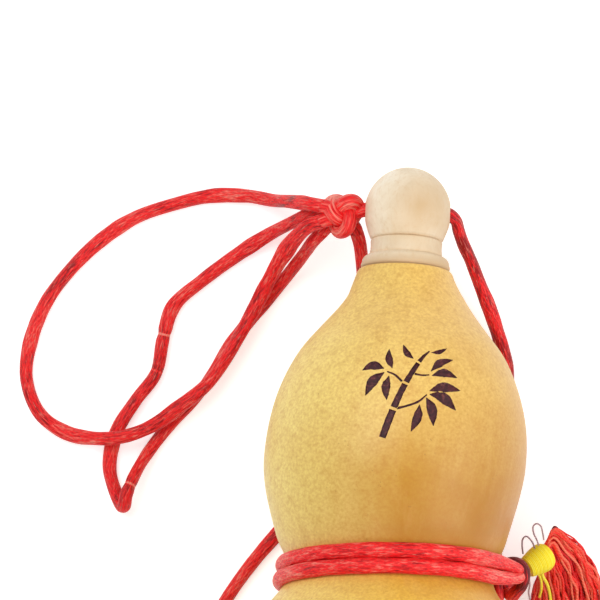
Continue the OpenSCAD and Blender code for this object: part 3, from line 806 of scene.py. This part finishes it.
def hole_cutter():
    """A long bar through the ball, wider at both mouths."""
    face, lip = BALL_R - 0.03, 2.25
    rows = [(-12.0, 3.1), (-face, lip), (-8.9, HOLE_R), (8.9, HOLE_R), (face, lip), (12.0, 3.1)]
    z = JOINT_Z + HOLE_H
    n, verts, faces = 40, [], []
    for x, r in rows:
        for k in range(n):
            a = FULL_TURN * k / n
            verts.append((x, r * math.cos(a), z + r * math.sin(a)))
    for i in range(len(rows) - 1):
        for k in range(n):
            m = (k + 1) % n
            faces.append((i * n + k, (i + 1) * n + k, (i + 1) * n + m, i * n + m))
    faces.append(tuple(range(n)))
    faces.append(tuple((len(rows) - 1) * n + k for k in range(n - 1, -1, -1)))
    shape = Shape()
    shape.add(lay(verts), faces)
    tool = shape.build("hole_cutter", [WOOD])
    face_outwards(tool.data)
    return tool


def build_stopper():
    """The ball with its cross hole, on its stem, and the cork round the stem."""
    flank = [(7.5, JOINT_Z + 0.06), (7.78, JOINT_Z + 0.2)]
    flank += [(BASE_R + (BALL_R - BASE_R) * math.sin(t), JOINT_Z + HOLE_H * t / (math.pi / 2))
              for t in np.linspace(0.12, math.pi / 2, 30)]
    dome = [(BALL_R * math.cos(t), JOINT_Z + HOLE_H + (BALL_H - HOLE_H) * math.sin(t))
            for t in np.linspace(0, math.pi / 2, 56)[1:-1]]
    foot = MOUTH_Z - 6.6
    stem = [(0.0, foot), (4.1, foot), (4.4, foot + 0.3), (4.4, foot + 1.4), (4.2, foot + 1.6),
            (STEM_R, foot + 1.6), (STEM_R, JOINT_Z - 0.1), (STEM_R + 0.1, JOINT_Z), (7.2, JOINT_Z)]
    shape = Shape()
    add_lathe(shape, stem + flank + dome + [(0.0, JOINT_Z + BALL_H)], 200)
    o = shape.build("ball_stopper", [WOOD])
    face_outwards(o.data)
    cut(o, hole_cutter())
    o.data.set_sharp_from_angle(angle=math.radians(40))
    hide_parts("stopper")
    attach(o, "stopper")
    low, inside = MOUTH_Z - 5.0, STEM_R + 0.12
    cork = [(inside, low), (CORK_R - 0.5, low), (CORK_R, low + 0.9), (CORK_R, JOINT_Z - 0.4),
            (CORK_R - 0.2, JOINT_Z), (inside, JOINT_Z)]
    shape = Shape()
    add_lathe(shape, cork, 120)
    o = shape.build("cork_sleeve", [CORK], sharp=40)
    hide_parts("stopper_cork")
    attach(o, "stopper")


build_collar()
build_stopper()

# ---------------------------------------------------------------- free cords

CORD_R = 1.5
LARGE_LOOP = [
    (-18.8, 71.2, 21.2), (-22.3, 71.8, 19.2), (-26.4, 72.4, 12.6), (-30.4, 72.8, 5.5),
    (-36.3, 73.7, 1.9), (-44.3, 73.4, 1.5), (-52.8, 71.1, 1.5), (-61.3, 67.7, 1.5),
    (-68.9, 62.2, 1.5), (-75.4, 55.3, 1.5), (-80.5, 47.7, 1.5), (-83.6, 38.8, 1.5),
    (-84.1, 30.3, 1.5), (-80.8, 22.7, 1.5), (-74.8, 18.7, 2), (-68.4, 17.6, 4.4),
    (-61.8, 18.2, 4.9), (-55, 21.1, 4.9), (-49.2, 25.6, 4.9), (-43.4, 30.8, 4.9),
    (-39.4, 36.7, 4.9), (-36.5, 42.2, 4.9), (-33.8, 47.7, 4.9), (-31.3, 53.1, 5.4),
    (-28.3, 59.1, 8), (-25.1, 63.9, 13), (-21.8, 66.9, 18), (-18.8, 68, 20.5),
]
SMALL_LOOP = [
    (-18.5, 71.2, 17.5), (-21.8, 69.9, 14.6), (-25.8, 67.9, 9), (-31.3, 65, 3),
    (-37.9, 60.4, 1.5), (-45.6, 54.2, 1.5), (-51.8, 48.1, 1.5), (-53.8, 40.6, 1.5),
    (-55, 33, 1.5), (-59.4, 26.4, 1.5), (-63.3, 19.3, 1.5), (-64.5, 11.2, 1.5),
    (-62.5, 4.9, 1.5), (-60.9, 2.5, 3.8), (-60.2, 5.5, 6), (-58, 11.2, 4), (-54.8, 16.8, 1.5),
    (-50.9, 22.1, 1.5), (-46.1, 27.6, 1.5), (-42.2, 33.4, 1.5), (-38.7, 39.8, 1.5),
    (-34.4, 45.9, 1.5), (-30, 51.6, 1.7), (-25.8, 57, 4), (-22.5, 61.5, 8),
    (-20.8, 63.8, 12.4), (-18.6, 66, 15.6),
]
KEEPER = [
    (10.1, 70.7, 20.4), (11.4, 70.7, 20.4), (12.5, 69.3, 19.5), (12.6, 66.9, 18),
    (13.1, 64.2, 16.3), (14.5, 61, 13.9), (16.9, 55.7, 10.4), (19.4, 50.3, 7), (22, 43.6, 3.6),
    (23.8, 38, 1.8), (24.1, 32.5, 1.5), (23.2, 26, 1.5), (22.2, 18, 1.5), (21.8, 9, 1.5),
    (21.9, 2, 1.8), (22.7, -3.5, 4.6), (23.6, -7.3, 9), (24.2, -9.3, 14),
]
# the keeper is drawn a little closer to the ball than its route, with its start in the hole
KEEPER_DRAWN = [(8.0, 70.9, 20.5), (9.4, 70.6, 20.4), (10.8, 69.4, 19.6), (11.5, 67.3, 18.2),
                (12.7, 64.4, 16.3), *KEEPER[5:]]
TAIL = [
    (-11.2, 66, 16), (-10.4, 63.6, 14.6), (-9.9, 60.8, 12.8), (-9.4, 57, 10.2), (-9, 52, 7),
    (-8.9, 47.2, 4), (-9.1, 43, 2), (-10.2, 38, 1.5), (-12.9, 33, 1.5), (-14.9, 28, 1.5),
    (-15.7, 22, 1.5), (-16, 16, 1.5), (-17, 10, 1.5), (-19.6, 5.2, 1.5), (-23, 1.4, 1.5),
    (-26.6, -2.6, 1.5), (-31, -8.2, 1.5), (-35.2, -14.4, 1.5), (-39.4, -21.8, 1.5),
    (-43, -29, 1.8), (-45.8, -34.8, 2.5),
]
TABLE_GAP = 0.02


def nearest(line, run, x, y):
    """How far along a line its nearest point to (x, y) is."""
    return run[np.argmin(np.linalg.norm(line[:, :2] - (x, y), axis=1))]


def satin(shape, line, seed, radius=CORD_R, tone=0.5, flat=0.08, creases=(), spread=()):
    """Adds a satin cord: a soft tube, pressed a little flat, whose flat turns slowly. Near the
    points of spread it lies wider."""
    rng = np.random.default_rng(seed)
    s = run_along(line)
    wave = sum(a * np.sin(s / w + rng.uniform(0, FULL_TURN))
               for a, w in ((0.03, 1.9), (0.05, 4.3), (0.02, 0.9)))
    turn = 0.9 * np.sin(s / 9.0 + rng.uniform(0, FULL_TURN)) + rng.uniform(-0.4, 0.4)
    wide = radius * (1 + wave + flat)
    tall = radius * (1 - 0.6 * wave - flat)
    light = tone + 0.08 * np.sin(s / 5.0 + rng.uniform(0, FULL_TURN))
    for x, y in spread:
        near = np.exp(-(((s - nearest(line, s, x, y)) / 5.5) ** 2))
        turn, wide = turn * (1 - near), wide * (1 + 0.24 * near)
    # at each crease the cord is pinched and darkened round it as painted shade, with a painted highlight
    # line across it
    for x, y, strength in creases:
        at = nearest(line, s, x, y)
        dent = strength * np.exp(-(((s - at) / 0.9) ** 2))
        wide, tall = wide * (1 - 0.14 * dent), tall * (1 - 0.12 * dent)
        light = light - 0.4 * dent + 1.2 * strength * np.exp(-(((s - at) / 0.28) ** 2))
    add_tube(shape, line, wide, tall, 24, light, turn=turn, floor=TABLE_GAP)


def free_cord(name, node, route, seed, far_end, bend, drawn=None, with_pieces=(), **look):
    """One free cord, drawn along its route in place of its part."""
    line = smooth_path(drawn or route, 0.4)
    shape = Shape()
    satin(shape, line, seed, **look)
    o = shape.build(name, [CORD])
    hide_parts(node)
    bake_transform(o)


# ---------------------------------------------------------------- tassels

STRAND_STEPS = 56
DISC_R = 1.9  # where the threads leave the binding
SETTLE = 3.2  # how far a thread runs before it follows the fan
RIGHT_FAN = {
    "inner": [(34.6, -5.2, 17.6), (33.6, -7.0, 15.6), (32.5, -9.2, 13.6), (31.8, -12.0, 10.8),
              (31.6, -16.0, 7.2), (31.8, -21.0, 4.6), (32.4, -31.0, 2.6), (33.2, -43.0, 1.6)],
    "outer": [(34.6, -1.9, 20.5), (35.2, 1.6, 20.8), (36.6, 1.6, 20.0), (38.6, 0.0, 18.6),
              (41.4, -2.4, 15.9), (44.2, -6.0, 12.2), (46.3, -9.6, 9.4), (48.3, -17.0, 6.0),
              (50.6, -30.0, 3.0), (53.0, -43.3, 1.8)],
    "depth": (1.6, 2.6, 3.1, 3.1, 2.9, 2.3, 1.8, 1.5),
}
LEFT_FAN = {
    "inner": [(-46.6, -45.6, 3.3), (-45.6, -50.4, 3.1), (-45.4, -58.3, 2.8), (-45.6, -68.6, 2.4),
              (-46.5, -78.9, 2.1), (-48.1, -88.9, 1.9)],
    "outer": [(-51.0, -45.0, 3.3), (-53.4, -48.8, 3.1), (-56.8, -55.9, 2.8), (-60.5, -65.6, 2.4),
              (-63.7, -75.3, 2.1), (-66.1, -85.3, 1.9)],
    "depth": (2.4, 2.8, 2.6, 2.2, 1.9, 1.6),
}


def add_skirt(shape, base, way, fan, strands, seed):
    """Loose threads that leave the binding's end, spread into the fan and fall to the table."""
    share = np.linspace(0, 1, STRAND_STEPS)
    inner = at_shares(smooth_path(fan["inner"], 0.4), share)
    outer = at_shares(smooth_path(fan["outer"], 0.4), share)
    depth = np.interp(share, np.linspace(0, 1, len(fan["depth"])), fan["depth"])
    side = unit(np.cross(way, (0, 0, 1.0)))
    if (inner[8] - outer[8]) @ side < 0:
        side = -side
    up = np.array([0, 0, 1.0]) - way * way[2]
    rng = np.random.default_rng(seed)
    for _ in range(strands):
        u = rng.uniform(0, 0.9) if rng.random() < 0.92 else rng.uniform(0.9, 1.04)
        v = rng.uniform(-1, 1)
        full = math.sqrt(max(0.12, 1 - (2 * u - 1) ** 2))
        line = inner * (1 - u) + outer * u
        line[:, 2] += v * full * depth
        disc = base + 0.2 * way + DISC_R * ((1 - 2 * u) * side + v * full * up)
        run = run_along(line)
        pull = np.clip(run / SETTLE, 0, 1)[:, None]
        pull = pull * pull * (3 - 2 * pull)
        line = disc * (1 - pull) + line * pull
        drift = rng.normal(0, 1, 4)
        sway = 0.8 * np.sin(run / (3.0 + 3 * rng.random()) + drift[0]) * (0.15 + share)
        across = unit(outer - inner)
        curl = 0.3 * np.sin(run / rng.uniform(1.0, 1.8) + drift[3]) * np.clip(run / 6.0 - 0.3, 0, 1)
        line = line + (sway + curl + 0.6 * drift[1] * share**2)[:, None] * across
        line[:, 2] += 0.4 * np.sin(run / (2.5 + 2 * rng.random()) + drift[2]) * share * (1 - share)
        reach = rng.uniform(0.93, 1.0) if rng.random() < 0.85 else rng.uniform(0.7, 0.93)
        keep = share <= reach
        r = rng.uniform(0.2, 0.36) * np.clip(0.7 + run / 12.0, 0.7, 1.0)
        line[:, 2] = np.maximum(line[:, 2], r + 0.05)
        add_tube(shape, line[keep], r[keep], None, 8, rng.uniform(0.05, 0.95))


def add_binding(shape, neck, base, profile, turns, thread):
    """Thread wound side by side round the tassel's head: profile is half widths along it."""
    axis = base - neck
    long = np.linalg.norm(axis)
    axis = axis / long
    side = unit(np.cross(axis, (0, 0, 1.0)))
    up = np.cross(side, axis)
    places = np.linspace(0, 1, len(profile))
    t = np.linspace(0, 1, turns * 40 + 1)
    r = np.interp(t, places, profile)
    a = t * turns * FULL_TURN
    line = neck + (t * long)[:, None] * axis
    line = line + (r * np.cos(a))[:, None] * side + (r * np.sin(a))[:, None] * up
    add_tube(shape, line, thread, None, 8, 0.6 + 0.2 * np.sin(a * 0.37), floor=TABLE_GAP)
    core = np.linspace(0, 1, 24)
    mid = neck + (core * long)[:, None] * axis
    add_tube(shape, mid, np.interp(core, places, profile) + 0.06, None, 28, 0.5, floor=TABLE_GAP)


def add_knob(shape, pivot, neck):
    """A small round knot where the tassel hangs, and its short neck."""
    axis = unit(neck - pivot)
    side = unit(np.cross(axis, (0.2, 0.1, 1.0)))
    up = np.cross(side, axis)
    t = np.linspace(0, FULL_TURN * 2.6, 110)
    rise = np.linspace(-0.75, 0.75, 110)
    line = (pivot + rise[:, None] * axis + (0.95 * np.cos(t))[:, None] * side
            + (0.95 * np.sin(t))[:, None] * up)
    add_tube(shape, line, 0.82, 0.7, 10, 0.45 + 0.2 * np.sin(t * 0.8), floor=TABLE_GAP)
    add_tube(shape, np.linspace(pivot, neck + 0.8 * axis, 12), 1.25, None, 16, 0.4)


BINDING_H, NECK_L = 5.6, 0.5
RIGHT_HEAD_R, LEFT_HEAD_R = 1.6, 2.2
RIGHT_WAY = unit([0.757, 0.53, -0.38])
LEFT_WAY = unit([-0.2, -0.98, 0.03])
BINDING = (2.25, 2.45, 2.65, 2.84, 3.0, 3.1, 3.1, 2.85, 2.25)
BINDING_TURNS, BINDING_THREAD, DOME = 18, 0.17, 0.6


def tassel(body, head_r, way, fan, strands, seed):
    """Hanger, yellow binding and skirt of one tassel. Returns its pieces."""
    pivot = np.array(JOINTS[body + "_swing"]["pos_m"]) / MM
    neck = pivot + (head_r + NECK_L) * way
    base = neck + BINDING_H * way
    shape = Shape()
    add_skirt(shape, base, way, fan, strands, seed)
    skirt = shape.build(body + "_threads", [TASSEL])
    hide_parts(body + "_skirt")
    shape = Shape()
    add_binding(shape, neck, base + DOME * way, BINDING, BINDING_TURNS, BINDING_THREAD)
    wound = shape.build(body + "_wound_binding", [YELLOW])
    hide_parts(body + "_binding")
    shape = Shape()
    add_knob(shape, pivot, neck)
    knob = shape.build(body + "_knob", [HITCH])
    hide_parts(body + "_hanger")
    for o in (skirt, wound, knob):
        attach(o, body)
    return [skirt, wound, knob]


tassel("tassel_right", RIGHT_HEAD_R, RIGHT_WAY, RIGHT_FAN, 240, 11)
left_pieces = tassel("tassel_left", LEFT_HEAD_R, LEFT_WAY, LEFT_FAN, 165, 23)

KNOT_END = (-15.0, 70.7, 20.0)
free_cord("cord_large_loop", "lanyard_loop_large", LARGE_LOOP, 1, "object", ((-57, 38, 3), KNOT_END),
          spread=((-27.0, 61.2),))
free_cord("cord_small_loop", "lanyard_loop_small", SMALL_LOOP, 2, "object", ((-57, 32, 3), KNOT_END),
          creases=((-53.7, 41.6, 1.0), (-55.1, 33.6, 0.4), (-59.6, 7.5, 0.9)),
          spread=((-24.6, 58.6),))
free_cord("cord_keeper", "keeper_cord", KEEPER, 3, "object", ((22.2, 18, 1.5), (11.4, 70.7, 20.4)),
          drawn=KEEPER_DRAWN, tone=0.28)
free_cord("cord_tail", "tail_cord", TAIL, 4, "fitting", ((-14.9, 28, 1.5), TAIL[0]),
          with_pieces=left_pieces)

# ---------------------------------------------------------------- knot at the stopper

KNOT_AT = np.array([-14.3, 69.85, 20.3])
KNOT_SIZE = np.array([1.08, 1.3, 1.6])
KNOT_R = 1.75


def trefoil(centre, size, start, steps=260):
    """The line of an overhand knot with three lobes, begun and ended at the same place."""
    t = np.linspace(start, start + FULL_TURN, steps)
    line = np.c_[np.sin(t) + 2 * np.sin(2 * t), np.cos(t) - 2 * np.cos(2 * t), -np.sin(3 * t)]
    return centre + line * size


def add_stub(shape, route, target, seed, tone):
    """A cord's end led on from its route into a knot."""
    end, following = np.array(route[0], float), np.array(route[1], float)
    back = unit(end - following)
    middle = (end + 2.2 * back) * 0.5 + target * 0.5
    line = smooth_path([end - 0.2 * back, end + 1.2 * back, middle, target], 0.4)
    satin(shape, line, seed, CORD_R * 0.985, tone)


def build_knot():
    """The knot on the ball's left, the cords that meet in it, and the cord through the ball."""
    shape = Shape()
    line = trefoil(KNOT_AT, KNOT_SIZE, math.pi / 6)
    # tones along the knot, raised round its upper-left lobe as a painted highlight
    glow = 0.62 + 0.5 * np.exp(-(((line[:, 0] + 17.0) / 1.6) ** 2 + ((line[:, 1] - 72.4) / 1.4) ** 2))
    satin(shape, line, 21, KNOT_R, glow, 0.05)
    heart = KNOT_AT - (0.0, 0.0, 1.6)
    ends = ((LARGE_LOOP, 0.55), (LARGE_LOOP[::-1], 0.5), (SMALL_LOOP, 0.4), (SMALL_LOOP[::-1], 0.45),
            (TAIL, 0.45))
    for i, (route, tone) in enumerate(ends):
        add_stub(shape, route, heart, 30 + i, tone)
    end = KEEPER_DRAWN[0]
    through = [KNOT_AT, (-11.6, 70.3, 20.2), (-9.4, *end[1:]), (0.0, *end[1:]), end]
    satin(shape, smooth_path(through, 0.4), 41)
    o = shape.build("neck_knot_cord", [CORD])
    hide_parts("neck_knot", "stopper_cord")
    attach(o, "stopper")


build_knot()

# ---------------------------------------------------------------- waist cord and hitch

PITCH, SKEW, GAP = 3.45, 0.8, 0.2
WAIST_WIDE, WAIST_TALL = 1.74, 1.45
HITCH_PHI, BIGHT_PHI = math.radians(146), math.radians(60)
HITCH_REACH, HITCH_RISE, HITCH_HALF = 13.0, 2.2, 2.8
BIGHT_REACH, BIGHT_RISE, BIGHT_CLOSE = 12.9, 0.6, 0.55  # the strands close up at the bight
RING = [  # the loop round the bight, from the hitch up, over and back, darker towards its top as painted shade
    (24.5, -9.4, 20.0), (23.9, -12.0, 22.2), (23.9, -13.4, 25.0), (23.6, -12.3, 28.0),
    (23.4, -9.8, 30.5), (23.9, -7.6, 32.0), (25.1, -6.3, 32.8), (27.0, -5.9, 33.3),
    (28.5, -6.7, 33.5), (29.2, -8.5, 33.1), (28.8, -10.7, 31.0), (27.6, -12.3, 28.5),
    (26.6, -13.6, 26.0), (26.1, -13.0, 23.0), (25.0, -10.4, 20.4),
]
RING_R = 1.3


def wrap_at(phi, side):
    """The waist strand's middle at an angle round the upright bottle."""
    z = WAIST_Z + SKEW * math.sin(phi) + side * PITCH / 2
    r = float(gourd_r(z)) + WAIST_TALL + GAP
    return np.array([r * math.sin(phi), -r * math.cos(phi), z])


def waist_route():
    """The doubled strand from the hitch, round behind and in front, to its bight and back."""
    start = (wrap_at(HITCH_PHI, 1) + wrap_at(HITCH_PHI, -1)) / 2
    off = -HITCH_REACH
    knot = start + np.array([off * math.cos(HITCH_PHI), off * math.sin(HITCH_PHI), HITCH_RISE])
    way = unit(knot - start)
    entry = knot - HITCH_HALF * way
    reach = BIGHT_REACH
    turn = np.array([reach * math.cos(BIGHT_PHI), reach * math.sin(BIGHT_PHI), BIGHT_RISE])
    bight = (wrap_at(BIGHT_PHI, 1) + wrap_at(BIGHT_PHI, -1)) / 2 + turn
    across = PITCH / 2 * unit(np.array([0, 0, 1.0]) - way[2] * way)
    step = np.array([0, 0, PITCH / 2])

    def strand(side):
        points = [entry + side * across, entry - 3 * way + side * across]
        full = FULL_TURN + BIGHT_PHI - HITCH_PHI
        points += [wrap_at(HITCH_PHI + full * i / 40, side) for i in range(41)]
        return points + [bight + side * step * close - turn * (3 - i) / 3
                         for i, close in ((1, 1.0), (2, 0.85), (3, BIGHT_CLOSE))]

    end_r = BIGHT_CLOSE * PITCH / 2
    ends = [bight + end_r * (math.cos(a) * unit(turn) + math.sin(a) * np.array([0, 0, 1.0]))
            for a in np.radians([50, 0, -50])]
    return np.array(strand(1) + ends + strand(-1)[::-1]), knot, way


def add_waist_strand(shape, line):
    """The waist cord: wide along the bottle, thin away from it, paler towards both ends as painted light.
    """
    s = run_along(line)
    wave = 0.02 * np.sin(s / 2.1) + 0.015 * np.sin(s / 0.9 + 1.0)
    flatness = np.array([noise.noise(Vector((x / 6.0, 5.2, 0.0))) for x in s])
    # painted light: paler towards both ends, on top of a tone that varies at random
    light = 0.5 + 0.15 * flatness + 0.14 * np.clip((np.abs(line[:, 0]) - 14) / 8, 0, 1)
    # the strand's own upward vector is the bottle's axis where it lies against the gourd
    wave = wave - 0.22 * np.clip((line[:, 0] - 22.5) / 3.5, 0, 1)
    add_tube(shape, line, WAIST_TALL * (1 - wave / 3), WAIST_WIDE * (1 + wave), 24, light)


def build_waist():
    """The wound cord, and the dark hitch that holds it. The hitch's darkness is painted shade."""
    route, knot, way = waist_route()
    shape = Shape()
    line = smooth_path(route, 0.4)
    add_waist_strand(shape, line)
    shape.verts[-1] = lay(shape.verts[-1])
    o = shape.build("waist_cord", [CORD])
    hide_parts("waist_wrap")
    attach(o, "bottle")
    middle = lay(knot)[0]
    axis = unit(lay(knot + way)[0] - middle)
    side = unit(np.cross(axis, (0, 0, 1.0)))
    up = np.cross(side, axis)
    shape = Shape()
    t = np.linspace(0, 1, 130)
    a = t * FULL_TURN * 2.0 + 2.4
    r = 2.45 + 0.1 * np.sin(a * 2)
    line = (middle + ((t - 0.5) * 2.5 + 0.5 * np.sin(a))[:, None] * axis
            + (r * np.cos(a))[:, None] * side + (r * np.sin(a))[:, None] * up)
    # painted shade: the wraps darker on one side
    satin(shape, line, 61, 1.38, 0.9 - 0.5 * (np.cos(a) > 0.2))
    # painted shade: a dark core between the wraps
    core = np.linspace(middle - 2.9 * axis, middle + 1.9 * axis, 16)
    add_tube(shape, core, 2.6, 2.2, 24, 0.2)
    ring = smooth_path(RING, 0.35)
    # painted shade: the ring darker towards its top, behind the bight
    satin(shape, ring, 63, RING_R, 0.95 - 0.85 * np.clip((ring[:, 2] - 27.0) / 4.0, 0, 1))
    end = np.array(KEEPER[-1], float)
    back = unit(end - np.array(KEEPER[-2], float))
    line = smooth_path([end - 0.1 * back, end + 1.5 * back, end * 0.3 + middle * 0.7, middle], 0.4)
    satin(shape, line, 62, tone=0.35)
    o = shape.build("waist_hitch", [HITCH])
    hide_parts("waist_knot")
    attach(o, "bottle")


build_waist()

# ---------------------------------------------------------------- stray threads

STRAYS = [  # route, radius, tone and which thread
    ([(28.9, -3.9, 22.0), (28.6, -2.0, 23.2), (28.7, -0.6, 23.6), (29.4, 0.0, 23.8),
      (30.3, -0.6, 23.4), (31.2, -1.9, 22.4), (31.6, -3.4, 21.4)], 0.19, 0.35, 0),
    ([(32.4, -2.2, 21.2), (31.9, -0.8, 21.8), (31.1, 0.7, 22.2), (30.9, 2.3, 22.8), (31.6, 2.9, 22.8),
      (32.5, 2.5, 22.4), (33.0, 1.2, 21.6), (33.4, -0.6, 20.6)], 0.19, 0.6, 0),
    ([(30.2, -8.0, 20.0), (30.8, -10.6, 17.0), (30.7, -12.4, 13.0), (31.2, -14.6, 9.0),
      (31.4, -20.0, 4.6), (30.9, -28.0, 1.6)], 0.22, 0.95, 0),
    ([(33.1, -6.6, 19.5), (33.6, -8.6, 17.5), (34.7, -10.4, 14.5), (35.4, -12.4, 11.8),
      (35.9, -15.0, 9.6)], 0.36, 0.7, 1),
    ([(32.2, -7.4, 19.0), (33.2, -9.4, 16.6), (33.5, -11.4, 13.6), (33.2, -13.4, 10.8)], 0.3, 0.6, 1),
    ([(35.2, 1.8, 20.2), (35.7, 2.4, 20.6), (36.6, 1.8, 19.8), (37.9, 0.2, 18.3),
      (39.2, -0.5, 17.2), (40.5, -1.2, 16.2), (42.6, -3.1, 13.8), (44.9, -5.9, 11.2),
      (46.4, -8.6, 9.2), (47.9, -12.0, 7.2), (49.6, -19.0, 4.6), (51.6, -30.0, 2.0)], 0.25, 0.3, 2),
]


def build_strays():
    """The fine loose loops and ends of thread beside the binding."""
    shape = Shape()
    for route, radius, tone, kind in STRAYS:
        add_tube(shape, smooth_path(route, 0.15), radius, None, 8, tone, kind)
    o = shape.build("stray_threads", [STRAY, YELLOW, DUSK])
    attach(o, "tassel_right")


build_strays()

# ---------------------------------------------------------------- table, light and background

TABLE_HALF, TABLE_GLOW = 900.0, 0.55


def build_stage():
    """A pale table top under everything, which shows near white to the camera."""
    shape = Shape()
    half = TABLE_HALF
    shape.add([(-half, -half, 0), (half, -half, 0), (half, half, 0), (-half, half, 0)], [(0, 1, 2, 3)])
    m = Nodes("table_top")
    soft = m.noise(m.place(), 9.0, 3.0, 0.5)
    base = m.ramp(soft, [(0.3, (0.90, 0.90, 0.90, 1.0)), (0.7, (0.93, 0.93, 0.93, 1.0))])
    m.finish(Base_Color=base, Roughness=0.9, Specular_IOR_Level=0.1)
    ray = m.node("LightPath").outputs
    seen = m.math("ADD", ray["Is Camera Ray"], m.math("ADD", ray["Is Glossy Ray"],
                                                      ray["Is Transmission Ray"]))
    glow = m.node("Emission", {"Color": (1.0, 1.0, 1.0, 1.0),
                               "Strength": m.math("MULTIPLY", seen, TABLE_GLOW)})
    both = m.node("AddShader", {0: m.shader.outputs[0], 1: glow.outputs[0]})
    m.put(m.out.inputs[0], both.outputs[0])
    shape.build("table_top", [m.material])


def area_light(name, place, aim, size, power, colour=(1, 1, 1)):
    """A soft square lamp at a place in mm, facing a point."""
    data = bpy.data.lights.new(name, "AREA")
    data.shape = "SQUARE"
    data.size = size * MM
    data.energy = power
    data.color = colour
    o = bpy.data.objects.new(name, data)
    o.location = Vector(place) * MM
    way = Vector(aim) - Vector(place)
    o.rotation_euler = way.to_track_quat("-Z", "Y").to_euler()
    bpy.context.scene.collection.objects.link(o)


def build_light():
    """A large soft light from the upper left, weaker ones round it, and a white room."""
    area_light("key", (-260, 280, 610), (-5, 30, 20), 420, 2.15, (1.0, 0.985, 0.955))
    area_light("fill", (430, -40, 330), (0, 20, 20), 380, 1.4, (1.0, 0.99, 0.98))
    area_light("front", (-60, -420, 420), (0, 20, 20), 360, 0.35)
    world = bpy.data.worlds.new("room")
    world.use_nodes = True
    tree = world.node_tree
    tree.nodes.clear()
    out = tree.nodes.new("ShaderNodeOutputWorld")
    room = tree.nodes.new("ShaderNodeBackground")
    room.inputs[0].default_value = (1.0, 1.0, 1.0, 1.0)
    room.inputs[1].default_value = 0.46
    seen = tree.nodes.new("ShaderNodeBackground")
    seen.inputs[0].default_value = (1.0, 1.0, 1.0, 1.0)
    seen.inputs[1].default_value = 1.0
    ray = tree.nodes.new("ShaderNodeLightPath")
    mix = tree.nodes.new("ShaderNodeMixShader")
    tree.links.new(ray.outputs["Is Camera Ray"], mix.inputs[0])
    tree.links.new(room.outputs[0], mix.inputs[1])
    tree.links.new(seen.outputs[0], mix.inputs[2])
    tree.links.new(mix.outputs[0], out.inputs[0])
    bpy.context.scene.world = world


build_stage()
build_light()
bpy.context.scene.view_settings.view_transform = "Standard"
